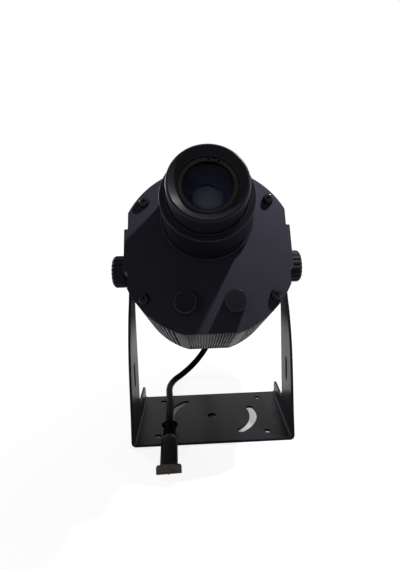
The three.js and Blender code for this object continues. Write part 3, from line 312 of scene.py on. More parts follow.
# Each finish: two colours, roughness from and to, grain, and what else surface takes
FINISHES = {
    "painted_steel": ((cool(0.064), cool(0.068)), (0.44, 0.48), (0.7, 0.02),
                      {"lump": PAINT_LUMP, "IOR": 1.1}),
    # The yoke's copy of the painted steel: darker in colour as painted shade on the base and arms, and
    # glossier
    "yoke_paint_painted_shade": ((cool(0.012, 1.6), cool(0.014, 1.6)), (0.34, 0.37), (0.7, 0.02),
                   {"lump": PAINT_LUMP, "IOR": 1.165}),
    "anodised_aluminium": ((cool(0.018), cool(0.022)), (0.33, 0.36), (0.35, 0.002), {"IOR": 1.14}),
    # Rounded edges: glossier, and a little lighter in colour than the faces, as a painted highlight along
    # them
    "glossy_edge_painted_highlight": ((cool(0.022), cool(0.028)), (0.1, 0.12), (0.35, 0.001), {"IOR": 1.23}),
    "anodised_fins": (((0.038, 0.028, 0.028), (0.046, 0.034, 0.034)), (0.38, 0.5), (0.3, 0.012),
                      {"stretch": FIN_STRETCH, "IOR": 1.15}),
    "black_plastic": ((cool(0.021), cool(0.025)), (0.34, 0.42), (0.45, 0.02), {"IOR": 1.13}),
    "black_rubber": ((cool(0.005, 1.25), cool(0.0065, 1.25)), (0.26, 0.32), (0.5, 0.012), {"IOR": 1.035}),
    "black_steel": ((cool(0.012, 1.2), cool(0.018, 1.2)), (0.18, 0.22), (0.4, 0.004), {"IOR": 1.22}),
    "screw_steel": ((cool(0.01, 1.2), cool(0.015, 1.2)), (0.12, 0.15), (0.4, 0.002), {"IOR": 1.21}),
    "bare_steel": ((grey(0.42), grey(0.5)), (0.28, 0.36), (0.3, 0.008), {"Metallic": 1.0}),
    "bare_aluminium": ((grey(0.5), grey(0.58)), (0.35, 0.45), (0.4, 0.01), {"Metallic": 1.0}),
    "olive_plastic": (((0.31, 0.275, 0.235), (0.36, 0.32, 0.275)), (0.5, 0.6), (0.5, 0.03), {"IOR": 1.15}),
    "nylon": (((0.66, 0.62, 0.52), (0.72, 0.68, 0.58)), (0.45, 0.55), (0.5, 0.02), {"IOR": 1.5}),
    "led_ceramic": (((0.75, 0.56, 0.12), (0.82, 0.63, 0.16)), (0.4, 0.5), (0.4, 0.01), {"IOR": 1.5}),
    "circuit_board": (((0.015, 0.09, 0.045), (0.02, 0.12, 0.06)), (0.35, 0.45), (0.6, 0.02), {"IOR": 1.5}),
    "gobo_glass": ((grey(0.2), grey(0.26)), (0.15, 0.22), (0.6, 0.004), {"Metallic": 0.3}),
    "frosted_glass": (((0.093, 0.087, 0.073), (0.107, 0.1, 0.086)), (0.3, 0.4), (0.5, 0.01), {"IOR": 1.2}),
}
materials = {name: surface(name, *looks, **more) for name, (*looks, more) in FINISHES.items()}
materials["coated_glass"] = coated_glass()


# Mesh making

# Edges stay sharp above this angle in degrees
SHARP = 32
# A profile step shorter than this is part of a rounded corner, which takes this share of a side at most
CORNER_STRIP, CORNER_SHARE = 0.4, 0.48
# Anything smaller counts as none
TINY = 1e-6
# Segments of large, middle and small round pieces
LARGE, MIDDLE, SMALL = 160, 96, 64


def shade(mesh, angle=SHARP):
    for face in mesh.polygons:
        face.use_smooth = True
    mesh.set_sharp_from_angle(angle=math.radians(angle))


def evaluated_mesh(piece):
    return bpy.data.meshes.new_from_object(piece.evaluated_get(bpy.context.evaluated_depsgraph_get()))


def mesh_from(bm, name):
    bmesh.ops.recalc_face_normals(bm, faces=bm.faces)
    mesh = bpy.data.meshes.new(name)
    bm.to_mesh(mesh)
    bm.free()
    return mesh


def link(name, bm, place, material, angle=SHARP):
    """A new piece with smooth faces and sharp edges."""
    mesh = mesh_from(bm, name)
    shade(mesh, angle)
    mesh.materials.append(materials[material])
    made = add_object(name, mesh)
    made.matrix_world = place
    return made


def polar(radius, angle, x=0, y=0):
    return x + radius * math.cos(angle), y + radius * math.sin(angle)


def circle(radius, x=0, y=0, count=SMALL):
    return [polar(radius, TURN * k / count, x, y) for k in range(count)]


def arc(x, y, radius, start, end, count):
    """Points on an arc in degrees, both ends included."""
    return [polar(radius, math.radians(start + (end - start) * k / count), x, y) for k in range(count + 1)]


def ring_slot(middle, width, first, last, long_count, end_count, y=0):
    """A curved slot, or an open ring, with round ends at two angles in degrees."""
    loop = []
    for radius, start, end, swing in (
        (middle + width / 2, first, last, last), (middle - width / 2, last, first, first + 180),
    ):
        loop += arc(0, y, radius, start, end, long_count)
        centre = polar(middle, math.radians(end), 0, y)
        loop += arc(*centre, width / 2, swing, swing + 180, end_count)[1:-1]
    return loop


def spline(points, before, after, steps, power):
    """A smooth curve through the points: power 0.5 spaces it by its spans' lengths, and 0 evenly."""
    route = [before, *points, after]
    out = []
    for p0, p1, p2, p3 in zip(route, route[1:], route[2:], route[3:]):
        d0, d1, d2 = (max((b - a).length, TINY) ** power for a, b in ((p0, p1), (p1, p2), (p2, p3)))
        m1 = ((p1 - p0) / d0 - (p2 - p0) / (d0 + d1) + (p2 - p1) / d1) * d1
        m2 = ((p2 - p1) / d1 - (p3 - p1) / (d1 + d2) + (p3 - p2) / d2) * d1
        for k in range(steps):
            t = k / steps
            bend = (p2 * 3 - p1 * 3 - m1 * 2 - m2) * t**2 + (p1 * 2 - p2 * 2 + m1 + m2) * t**3
            out.append(p1 + m1 * t + bend)
    out.append(points[-1])
    return out


def bow(start, corner, end, steps):
    """Points from start to end on a curve pulled towards the corner."""
    shares = [k / steps for k in range(steps + 1)]
    return [tuple(start * (1 - t) ** 2 + corner * (2 * t * (1 - t)) + end * t**2) for t in shares]


def rounded(points, closed=True, steps=4):
    """The outline with its corners rounded. A point is (x, y) or (x, y, corner radius)."""
    out = []
    count = len(points)
    for i, point in enumerate(points):
        here = Vector(point[:2])
        radius = point[2] if len(point) > 2 else 0
        if radius == 0 or (not closed and i in (0, count - 1)):
            out.append(tuple(here))
            continue
        back = Vector(points[i - 1][:2]) - here
        ahead = Vector(points[(i + 1) % count][:2]) - here
        half = back.angle(ahead) / 2
        reach = min(radius / math.tan(half), CORNER_SHARE * back.length, CORNER_SHARE * ahead.length)
        out += bow(here + back.normalized() * reach, here, here + ahead.normalized() * reach, steps)
    return out


def turned(name, profile, place, material, segments=MIDDLE, wave=None, steps=4, angle=SHARP, edge=None):
    """A turned piece from a profile of (radius, z) or (radius, z, corner radius).

    A profile that starts and ends on the axis is solid, and any other is closed on itself. wave is (number
    of flutes, depth, inner radius from which they are full). edge is the finish of rounded corners, which
    is glossier and a little lighter in colour, as a painted highlight along them.
    """
    on_axis = profile[0][0] == 0 and profile[-1][0] == 0
    line = rounded(profile, closed=not on_axis, steps=steps)
    bm = bmesh.new()
    rows = []
    for radius, z in line:
        if radius < TINY:
            rows.append([bm.verts.new((0, 0, z * MM))] * segments)
            continue
        row = []
        for k in range(segments):
            turn = TURN * k / segments
            reach = radius
            if wave and radius > wave[2]:
                reach -= wave[1] * (0.5 + 0.5 * math.cos(wave[0] * turn)) ** 2
            row.append(bm.verts.new((*polar(reach * MM, turn), z * MM)))
        rows.append(row)
    pairs = list(zip(rows, rows[1:]))
    if not on_axis:
        pairs.append((rows[-1], rows[0]))
    for i, (low, high) in enumerate(pairs):
        ahead = line[(i + 1) % len(line)]
        corner_strip = edge and math.dist(line[i], ahead) < CORNER_STRIP
        for k in range(segments):
            n = (k + 1) % segments
            corners = list(dict.fromkeys((low[k], low[n], high[n], high[k])))
            if len(corners) > 2:
                bm.faces.new(corners).material_index = 1 if corner_strip else 0
    piece = link(name, bm, place, material, angle)
    if edge:
        piece.data.materials.append(materials[edge])
    return piece


def filled(name, loops, low, high, bevel, steps=2):
    """A flat piece with rounded edges: the first loop is its outline, the others are holes."""
    curve = bpy.data.curves.new(name, "CURVE")
    curve.dimensions = "2D"
    curve.fill_mode = "BOTH"
    curve.extrude = ((high - low) / 2 - bevel) * MM
    curve.bevel_depth = bevel * MM
    curve.bevel_resolution = steps
    curve.offset = -bevel * MM
    for loop in loops:
        spline = curve.splines.new("POLY")
        spline.points.add(len(loop) - 1)
        for point, (x, y) in zip(spline.points, loop):
            point.co = (x * MM, y * MM, 0, 1)
        spline.use_cyclic_u = True
    holder = add_object(name, curve)
    shape = evaluated_mesh(holder)
    bpy.data.objects.remove(holder)
    bpy.data.curves.remove(curve)
    bm = bmesh.new()
    bm.from_mesh(shape)
    bpy.data.meshes.remove(shape)
    bmesh.ops.remove_doubles(bm, verts=bm.verts, dist=TINY)
    bmesh.ops.translate(bm, verts=bm.verts, vec=(0, 0, (low + high) / 2 * MM))
    return bm


def settle(piece):
    """Puts the piece's place into its mesh, so that its box in the frame is exact."""
    piece.data.transform(piece.matrix_world)
    piece.matrix_world = ORIGIN


def level_faces(piece):
    """Large flat faces keep their own normal up to their rounded edges."""
    made = piece.modifiers.new("level", "WEIGHTED_NORMAL")
    made.weight = 100
    made.keep_sharp = True
    return piece


def plate(name, loops, low, high, bevel, place, material, steps=2):
    return level_faces(link(name, filled(name, loops, low, high, bevel, steps), place, material))


def skinned(name, rings, place, material):
    """A closed skin over rings of points in metres, with flat ends."""
    bm = bmesh.new()
    rows = [[bm.verts.new(point) for point in ring] for ring in rings]
    for low, high in zip(rows, rows[1:]):
        for k in range(len(low)):
            n = (k + 1) % len(low)
            bm.faces.new((low[k], low[n], high[n], high[k]))
    bm.faces.new(rows[0])
    bm.faces.new(rows[-1])
    return link(name, bm, place, material)


def subtract(target, *cutters):
    """Cuts the cutters out of the target's mesh for good."""
    for cutter in cutters:
        made = target.modifiers.new("cut", "BOOLEAN")
        made.operation = "DIFFERENCE"
        made.solver = "EXACT"
        made.object = cutter
    bpy.context.view_layer.update()
    old = target.data
    target.data = evaluated_mesh(target)
    target.modifiers.clear()
    bpy.data.meshes.remove(old)
    for cutter in cutters:
        bpy.data.objects.remove(cutter)
    shade(target.data)


def stand_for(piece, body, slot, *replaced):
    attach(piece, body)
    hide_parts(*replaced)


# Lead and connector

def lead_line():
    straight = Vector((0, 0, -2 * LEAD_RADIUS * MM))
    start = HEAD @ Vector((0, GLAND_Y * MM, (COVER_REAR - GLAND_END - SEAT) * MM))
    end = CONNECTOR @ Vector((0, 0, -SEAT * MM))
    route = [start, start + HEAD.to_3x3() @ straight]
    route += [BASE @ (Vector(point) * MM) for point in LEAD_ROUTE]
    route += [end + CONNECTOR.to_3x3() @ straight, end]
    before, after = route[0] * 2 - route[1], route[-1] * 2 - route[-2]
    return spline(route, before, after, LEAD_STEPS, 0.5)


def tube(name, line, radius, material, sides=24):
    """A round tube along a line of points, with rings that turn as little as they can."""
    rings = []
    side = None
    for i, point in enumerate(line):
        along = (line[min(i + 1, len(line) - 1)] - line[max(i - 1, 0)]).normalized()
        side = along.orthogonal() if side is None else side - along * side.dot(along)
        side.normalize()
        other = along.cross(side)
        rings.append([point + side * x + other * y for x, y in circle(radius, count=sides)])
    return skinned(name, rings, ORIGIN, material)


def lofted(name, sections, material):
    """A skin over sections of (half width, half height, distance, exponent) along the connector."""
    rings = []
    for wide, high, along, power in sections:
        ring = []
        for c, s in circle(1):
            x = wide * math.copysign(abs(c) ** (2 / power), c)
            y = high * math.copysign(abs(s) ** (2 / power), s)
            ring.append(Vector((x, y, along)) * MM)
        rings.append(ring)
    return skinned(name, rings, CONNECTOR, material)


TAIL = {"length": 24, "width": 12.6, "height": 9.4, "collar": 2.6, "collar_width": 16.6,
        "ribs": 4, "pitch": 5, "gap": 1.5, "depth": 1}
PLUG = {"width": 16.4, "nose": 7.2, "shoulder": 8, "length": 47.6, "rounding": 0.4, "steps": 8}
END_PLATE = {"width": 23.1, "height": 8.4, "thick": 2.6, "corner": 3}
CAP_NUT = {"bore": 1.75, "outer": 2.6, "long": 1.5, "wall": 1, "flutes": 12, "flute": 0.12}
OVAL, SQUARISH = 2, 4


def swelling(wide, high, low, top, edge=0.45, steps=4):
    """Sections of one rib with rounded edges."""
    out = []
    for k in range(steps + 1):
        a = math.pi / 2 * k / steps
        inset = edge * (1 - math.sin(a))
        out.append((wide - inset, high - inset, low + edge * (1 - math.cos(a)), OVAL))
    rear = [(w, h, top - (along - low), power) for w, h, along, power in reversed(out)]
    return out + rear


def make_tail():
    wide, high = TAIL["width"] / 2, TAIL["height"] / 2
    core = (wide - TAIL["depth"], high - TAIL["depth"])
    rib, step = TAIL["pitch"] - TAIL["gap"], 0.1
    low = TAIL["collar"]
    sections = swelling(TAIL["collar_width"] / 2, high, 0, low)
    for i in range(TAIL["ribs"]):
        sections.append((*core, low + step, OVAL))
        low = TAIL["collar"] + TAIL["gap"] + i * TAIL["pitch"]
        sections.append((*core, low - step, OVAL))
        sections += swelling(wide, high, low, low + rib)
        low += rib
    sections += [(*core, along, OVAL) for along in (low + step, TAIL["length"])]
    tail = lofted("cable_tail", sections, "black_rubber")
    stand_for(tail, "bracket", "black_rubber", "connector_tail")
    return tail


def make_plug():
    start = TAIL["length"] + SEAT
    shoulder, end = start + PLUG["shoulder"], start + PLUG["length"]
    narrow, wide = TAIL["width"] / 2, PLUG["width"] / 2
    rear_high, front_high = TAIL["height"] / 2, PLUG["nose"] / 2
    edge, steps = PLUG["rounding"], PLUG["steps"]
    sections = [(narrow - edge, rear_high - edge, start, OVAL)]
    for k in range(steps + 1):
        t = k / steps
        eased = t * t * (3 - 2 * t)
        along = start + edge + (PLUG["shoulder"] - edge) * t
        half, power = narrow + (wide - narrow) * eased, OVAL + (SQUARISH - OVAL) * eased
        sections.append((half, rear_high, along, power))
    for k in range(1, steps + 1):
        t = k / steps
        along = shoulder + (end - edge - shoulder) * t
        sections.append((wide, rear_high + (front_high - rear_high) * t, along, SQUARISH))
    sections.append((wide - edge, front_high - edge, end, SQUARISH))
    plug = lofted("connector_body", sections, "black_plastic")
    stand_for(plug, "bracket", "black_plastic", "connector_shell")
    half, rise, corner = END_PLATE["width"] / 2, END_PLATE["height"] / 2, END_PLATE["corner"]
    corners = ((-half, -rise, 0.5), (half, -rise, 0.5), (half, rise, corner), (-half, rise, corner))
    outline = rounded(corners, steps=10)
    front = end + END_PLATE["thick"]
    flange = plate("connector_end", [outline], end, front, 0.4, CONNECTOR, "olive_plastic")
    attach(flange, "bracket")
    low = front + SEAT
    floor = low + CAP_NUT["long"]
    tip = floor + CAP_NUT["wall"]
    bore, outer = CAP_NUT["bore"], CAP_NUT["outer"]
    nut = turned(
        "cap_nut",
        [(0, floor), (bore, floor), (bore, low), (outer, low, 0.15), (outer, tip, 0.4), (0, tip)],
        CONNECTOR, "olive_plastic", 72, wave=(CAP_NUT["flutes"], CAP_NUT["flute"], outer - 0.3),
    )
    stand_for(nut, "coupling_nut", "olive_plastic", "connector_nut")
    return [plug, flange, nut]


def make_lead():
    pieces = [make_tail(), *make_plug()]
    line = lead_line()
    lead = tube("cable", line, LEAD_SKIN * MM, "black_rubber")
    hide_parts("power_lead")
    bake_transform(lead)


make_lead()


# Yoke: the flat blank with its holes, folded up at both sides

BEND_MIDDLE = YOKE_BEND + SHEET / 2
BEND_START = YOKE_WIDTH / 2 - YOKE_BEND - SHEET
BEND_LENGTH = BEND_MIDDLE * math.pi / 2
BEND_END = BEND_START + BEND_LENGTH
BEND_TOP = YOKE_BEND + SHEET
BEND_STEPS = 10


def on_arm(height):
    """Distance from the blank's middle to a place on an arm at that height."""
    return BEND_END + height - BEND_TOP


def arm_side():
    """The arm's outline in (depth, height), from the rear of the skirt round the head to the front."""
    half = YOKE_DEPTH / 2
    line = [(half, BEND_TOP)]
    line += arc(half - SKIRT_CORNER, SKIRT_HEIGHT - SKIRT_CORNER, SKIRT_CORNER, 0, 90, 12)
    line += arc(ARM_REAR + ARM_FILLET, SKIRT_HEIGHT + ARM_FILLET, ARM_FILLET, -90, -180, 12)
    line.append((ARM_REAR, ARM_NECK))
    head = arc(0, PIVOT_HEIGHT, ARM_HEAD_RADIUS, *ARM_HEAD_ANGLES, 40)
    neck, top = Vector((ARM_REAR, ARM_NECK)), Vector(head[0])
    bend = Vector((ARM_REAR, (ARM_NECK + PIVOT_HEIGHT) / 2))
    line += bow(neck, bend, top, 12)[1:-1] + head
    front = [Vector(head[-1])] + [Vector((-d * half, h * PIVOT_HEIGHT)) for d, h in ARM_FRONT]
    line += [tuple(point) for point in spline(front, front[0], front[-1], 8, 0)[1:]]
    line.append((-half, 2 * SHEET))
    return line


def make_yoke():
    side = arm_side()
    right = [(on_arm(z), y) for y, z in side]
    left = [(-on_arm(z), y) for y, z in reversed(side)]
    loops = [right + left]
    for turn in (0, 180):
        first, last = turn - ARC_SLOT["front"], turn + ARC_SLOT["rear"]
        loops.append(ring_slot(ARC_SLOT["radius"], ARC_SLOT["width"], first, last, 32, 12))
    loops.append(circle(CENTRE_HOLE))
    for x in (-BASE_HOLE_X, BASE_HOLE_X):
        for y in (-BASE_HOLE_Y, BASE_HOLE_Y):
            loops.append(circle(BASE_HOLE, x, y, 40))
    radius = ARM_SLOT["width"] / 2
    low, high = ARM_SLOT["low"] + radius, ARM_SLOT["low"] + ARM_SLOT["length"] - radius
    for sign in (-1, 1):
        loops.append(circle(PIVOT_HOLE, sign * on_arm(PIVOT_HEIGHT), 0, 40))
        slot = arc(0, high, radius, 0, 180, 12) + arc(0, low, radius, 180, 360, 12)
        loops.append([(sign * on_arm(z), y - ARM_SLOT["set"]) for y, z in slot])
    bm = filled("yoke", loops, -SHEET / 2, SHEET / 2, 0.35)
    for sign in (-1, 1):
        for k in range(BEND_STEPS + 1):
            cut = sign * (BEND_START + BEND_LENGTH * k / BEND_STEPS) * MM
            parts = bm.verts[:] + bm.edges[:] + bm.faces[:]
            bmesh.ops.bisect_plane(bm, geom=parts, plane_co=(cut, 0, 0), plane_no=(1, 0, 0), dist=TINY / 10)
    for vert in bm.verts:
        out, rise = abs(vert.co.x) / MM, vert.co.z / MM
        sign = math.copysign(1, vert.co.x)
        if out <= BEND_START:
            x, z = out, SHEET / 2 + rise
        elif out < BEND_END:
            turn = (out - BEND_START) / BEND_MIDDLE
            x = BEND_START + (BEND_MIDDLE - rise) * math.sin(turn)
            z = BEND_TOP - (BEND_MIDDLE - rise) * math.cos(turn)
        else:
            x, z = YOKE_WIDTH / 2 - SHEET / 2 - rise, BEND_TOP + out - BEND_END
        vert.co = (sign * x * MM, vert.co.y, z * MM)
    # The yoke takes the darker copy of the paint, as painted shade
    yoke = level_faces(link("yoke", bm, BASE, "yoke_paint_painted_shade"))
    stand_for(yoke, "bracket", "painted_steel", "u_bracket")


make_yoke()


# Tilt clamps, made about their own axis with z outward

KNOB = {"radius": 17.2, "thick": 15.4, "hub": 9, "hub_long": 1.5, "flutes": 18, "flute": 1.1,
        "flute_in": 4.6, "rear_corner": 1.2, "front_corner": 3.2, "front_corner_low": 2.6,
        "dish": 0.7, "dish_rim": 5.4, "dish_slope": 0.4}
STUD, STUD_IN = 3, 10
WASHER = {"radius": 11, "thick": 1.2}
FRICTION_RADIUS = 14
WASHER_IN = YOKE_WIDTH / 2 + SEAT
HUB_IN = WASHER_IN + WASHER["thick"] + SEAT
KNOB_IN = HUB_IN + KNOB["hub_long"]
KNOB_OUT = KNOB_IN + KNOB["thick"]
ARM_INSIDE = YOKE_WIDTH / 2 - SHEET


def band(inner, outer, low, high, corner=0.3):
    """Profile of a flat ring, with its outer edges rounded."""
    return [(inner, low), (outer, low, corner), (outer, high, corner), (inner, high)]


def make_clamp(side, sign):
    pivot = BASE @ Matrix.Translation((0, 0, PIVOT_HEIGHT * MM))
    place = pivot @ Matrix.Rotation(sign * math.pi / 2, 4, "Y")
    body = f"tilt_knob_{side}_group"
    bore = STUD + SEAT
    radius, floor = KNOB["radius"], KNOB_OUT - KNOB["dish"]
    knob = turned(
        f"clamp_knob_{side}",
        [
            (0, HUB_IN),
            (KNOB["hub"], HUB_IN, 0.4),
            (KNOB["hub"], KNOB_IN, 0.3),
            (radius - KNOB["rear_corner"], KNOB_IN, 0.6),
            (radius, KNOB_IN + KNOB["rear_corner"], 0.8),
            (radius, KNOB_OUT - KNOB["front_corner_low"], 2.2),
            (radius - KNOB["front_corner"], KNOB_OUT, 1.6),
            (radius - KNOB["dish_rim"] + KNOB["dish_slope"], KNOB_OUT, 0.4),
            (radius - KNOB["dish_rim"], floor, 0.4),
            (0, floor),
        ],
        place, "black_plastic", KNOB["flutes"] * 12,
        wave=(KNOB["flutes"], KNOB["flute"], radius - KNOB["flute_in"]),
    )
    washer = turned(f"clamp_washer_{side}", band(bore, WASHER["radius"], WASHER_IN, HUB_IN - SEAT),
                    place, "black_steel", SMALL)
    stud_in, stud_out = LAND_SIDE - STUD_IN, HUB_IN - 0.05
    profile = [(0, stud_in), (STUD, stud_in, 0.4), (STUD, stud_out), (0, stud_out)]
    stud = turned(f"clamp_stud_{side}", profile, place, "bare_steel", 32)
    profile = band(bore, FRICTION_RADIUS, LAND_SIDE + SEAT, ARM_INSIDE - SEAT)
    friction = turned(f"friction_disc_{side}", profile, place, "black_plastic", SMALL)
    stand_for(knob, body, "black_plastic", f"tilt_knob_{side}")
    stand_for(washer, body, "black_steel", f"knob_washer_{side}")
    stand_for(stud, body, "bare_steel", f"tilt_stud_{side}")
    stand_for(friction, "head", "black_plastic", f"friction_washer_{side}")


for side, sign in SIDES:
    make_clamp(side, sign)


# Head shell: one section with round quarters, flats, pivot lands and steps

def section(inset=0, grooved=False):
    radius, flat, step = BODY_RADIUS - inset, BODY_FLAT - inset, STEP_SIDE - inset
    land, half = LAND_SIDE - inset, LAND_HALF - inset
    start, end = math.acos(step / radius), math.asin(flat / radius)
    quarter = [(land, half, 1.0), (step, half, 0.6), (*polar(radius, start), 1.2)]
    if grooved:
        first, last = GROOVES["arc_start"], GROOVES["arc_end"]
        wide, deep = GROOVES["arc_width"] / 2, GROOVES["arc_depth"]
        mouth, root = GROOVES["arc_rounding"]
        for i in range(GROOVES["arc"]):
            a = math.radians(first + (last - first) * (i + 0.5) / GROOVES["arc"])
            out, along = Vector(polar(1, a)), Vector((-math.sin(a), math.cos(a)))
            for reach, aside, corner in (
                (radius, -wide, mouth), (radius - deep, -wide, root), (radius - deep, wide, root),
                (radius, wide, mouth),
            ):
                quarter.append((*(out * reach + along * aside), corner))
    else:
        quarter += [(*p, 0) for p in arc(0, 0, radius, math.degrees(start), math.degrees(end), 24)[1:-1]]
    quarter.append((*polar(radius, end), 1.0))
    if grooved:
        wide, deep = GROOVES["flat_width"] / 2, flat - GROOVES["flat_depth"]
        mouth, root = GROOVES["flat_rounding"]
        pitch = 2 * (FLAT_HALF - GROOVES["flat_margin"]) / GROOVES["flat"]
        for i in reversed(range(GROOVES["flat"] // 2)):
            x = (i + 0.5) * pitch
            quarter += [(x + wide, flat, mouth), (x + wide, deep, root), (x - wide, deep, root),
                        (x - wide, flat, mouth)]
    flipped = list(reversed(quarter))
    loop = quarter + [(-x, y, r) for x, y, r in flipped]
    loop += [(-x, -y, r) for x, y, r in quarter] + [(x, -y, r) for x, y, r in flipped]
    return rounded(loop, steps=3)


SCREW_PLACES = [(x, y) for x in (-SCREW_X, SCREW_X) for y in (-SCREW_Y, SCREW_Y)]


def bore_loop():
    """The bore with a lobe round each cover screw's boss."""
    boss = SCREW["boss"]
    out = []
    for point in circle(1, count=360):
        direction, reach = Vector(point), BORE
        for centre in SCREW_PLACES:
            along = direction.dot(centre)
            aside = (Vector(centre) - direction * along).length
            if aside < boss and along > 0:
                reach = min(reach, along - math.sqrt(boss**2 - aside**2))
        out.append(tuple(direction * reach))
    return out


def make_shell():
    screws = [circle(SCREW["radius"] + SEAT, x, y, 32) for x, y in SCREW_PLACES]
    shell = plate("finned_body", [section(0, True), bore_loop()], BODY_REAR, BODY_FRONT, 0.2, HEAD,
                  "anodised_fins")
    stand_for(shell, "head", "anodised_aluminium", "housing")
    for end, low in (("front", BODY_FRONT + SEAT), ("rear", COVER_FRONT + SEAT)):
        loops = [section(SEAL_INSET), circle(SEAL_BORE, count=128), *screws]
        seal = plate(f"{end}_seal", loops, low, low + GASKET, 0.1, HEAD, "black_rubber")
        stand_for(seal, "head", "black_rubber", f"{end}_gasket")
    spigot = circle(GUIDE_OUT + SEAT, 0, LENS_AXIS, MIDDLE)
    shafts = [circle(CONTROL_SHAFT + SEAT, s * CONTROL_X, CONTROL_Y, 32) for s in (-1, 1)]
    gland = circle(GLAND_THREAD + SEAT, 0, GLAND_Y, 48)
    for name, holes, low, high, replaced in (
        ("face_plate", [spigot, *screws, *shafts], PLATE_REAR, PLATE_FRONT, "front_plate"),
        ("vented_cover", [gland, *screws, *vent_loops()], COVER_REAR, COVER_FRONT, "rear_cover"),
    ):
        cover = plate(name, [section(), *holes], low, high, 0.35, HEAD, "painted_steel")
        stand_for(cover, "head", "painted_steel", replaced)


VENT = {"rings": 4, "first": 17, "pitch": 6, "width": 3.4, "spoke": 4, "sectors": 4}


def vent_loops():
    """Curved slots in rings in front of the fan."""
    loops = []
    for i in range(VENT["rings"]):
        middle = VENT["first"] + i * VENT["pitch"]
        sector = 360 / VENT["sectors"]
        inset = math.degrees((VENT["spoke"] + VENT["width"]) / 2 / middle)
        for k in range(VENT["sectors"]):
            first, last = sector * k + inset, sector * (k + 1) - inset
            loops.append(ring_slot(middle, VENT["width"], first, last, 24, 8, FAN_CENTRE))
    return loops


make_shell()


# Cover screws: pan heads with a cross recess, whose sizes are at its floor and at its top

RECESS = {"widths": (0.42, 0.62), "lengths": (1.0, 2.6), "deep": 2.2, "above": 0.5}
SCREW_TURNS = {"front": (20, 75, 38, 8), "rear": (51, 12, 66, 30)}


def cross_cutter():
    heights = (SCREW["height"] - RECESS["deep"], SCREW["height"] + RECESS["above"])
    blades = []
    for turn in (0, math.pi / 2):
        rings = []
        for wide, long, z in zip(RECESS["widths"], RECESS["lengths"], heights):
            corners = ((-long, -wide), (long, -wide), (long, wide), (-long, wide))
            ring = [Vector((x * MM, y * MM, z * MM)) for x, y in corners]
            rings.append([Matrix.Rotation(turn, 3, "Z") @ corner for corner in ring])
        blades.append(skinned("cutter", rings, ORIGIN, "black_steel"))
    return blades


def make_screws():
    radius, head, height = SCREW["radius"], SCREW["head"], SCREW["height"]
    pattern = turned(
        "screw_pattern",
        [
            (0, -SCREW["reach"]),
            (radius, -SCREW["reach"], 0.3),
            (radius, 0, 0.1),
            (head, 0, 0.25),
            (head, 1.5, 1.0),
            (head - 1.2, height - 0.4, 1.6),
            (0, height),
        ],
        ORIGIN, "screw_steel", SMALL, steps=6, angle=40,
    )
    subtract(pattern, *cross_cutter())
    flipped = Matrix.Rotation(math.pi, 4, "X")
    for end, face, flip in (("front", PLATE_FRONT + SEAT, ORIGIN), ("rear", COVER_REAR - SEAT, flipped)):
        for i, (sx, sy) in enumerate(((-1, 1), (1, 1), (1, -1), (-1, -1))):
            screw = add_object(f"{end}_cover_screw_{i + 1}", pattern.data.copy())
            place = HEAD @ Matrix.Translation(Vector((sx * SCREW_X, sy * SCREW_Y, face)) * MM)
            screw.matrix_world = place @ flip @ Matrix.Rotation(math.radians(SCREW_TURNS[end][i]), 4, "Z")
            stand_for(screw, "head", "black_steel", f"{end}_screw_{i + 1}")
    bpy.data.objects.remove(pattern)


make_screws()


# Lens tube, focus ring, barrel and glass, from the front plate's face on the lens axis

LENS = HEAD @ Matrix.Translation((0, LENS_AXIS * MM, PLATE_FRONT * MM))
FLANGE, FLANGE_TOP = 44, 4
GUIDE_END = 46.2
SPIGOT = 12
FOCUS = {"radius": 41.1, "end": 50.7, "rim": 35.5, "rim_height": 0.8, "bore": GUIDE_OUT + 0.45}
BARREL = {"radius": BARREL_RADIUS, "wall": 6, "rear": 10, "front": 78, "mouth": 25.6, "mouth_depth": 6.3}
CLIP = {"thick": 1.6, "inner": 20.8, "gap": 3.4, "gap_angle": 14}
FRONT_LENS = {"radius": 24.6, "edge": 5, "dome": 6.6, "rim": 4}
REAR_LENS = {"radius": 13.8, "edge": 4, "dome": 2.6, "rim": 4, "set": 32.6}
SHOULDER = 2.6
THROAT = 9.9
CLIP_SEAT = BARREL["front"] - BARREL["mouth_depth"]
CLIP_FRONT = CLIP_SEAT - SEAT
CLIP_REAR = CLIP_FRONT - CLIP["thick"]
LENS_FRONT = CLIP_REAR - SEAT
LENS_REAR = LENS_FRONT - FRONT_LENS["edge"]
REAR_LENS_REAR = BARREL["rear"] + REAR_LENS["set"]
REAR_LENS_FRONT = REAR_LENS_REAR + REAR_LENS["edge"]
REAR_RING = {"bore": 10.8, "thick": 2.4}
CLIP_EYE, CLIP_EYE_SET = 0.8, 6


def lens_profile(size, rear, front, count=14):
    """A lens with a flat rear and a shallow dome inside its rim."""
    radius, domed, rise = size["radius"], size["radius"] - size["rim"], size["dome"]
    dome = [(domed * k / count, front + rise * (1 - (k / count) ** 2)) for k in range(count + 1)]
    return [(0, rear), (radius, rear, 0.3), (radius, front, 0.3), *reversed(dome)]


def lens_part(name, profile):
    # Rounded corners take the glossier edge finish, whose lighter colour is a painted highlight
    return turned(name, profile, LENS, "anodised_aluminium", LARGE, edge="glossy_edge_painted_highlight")


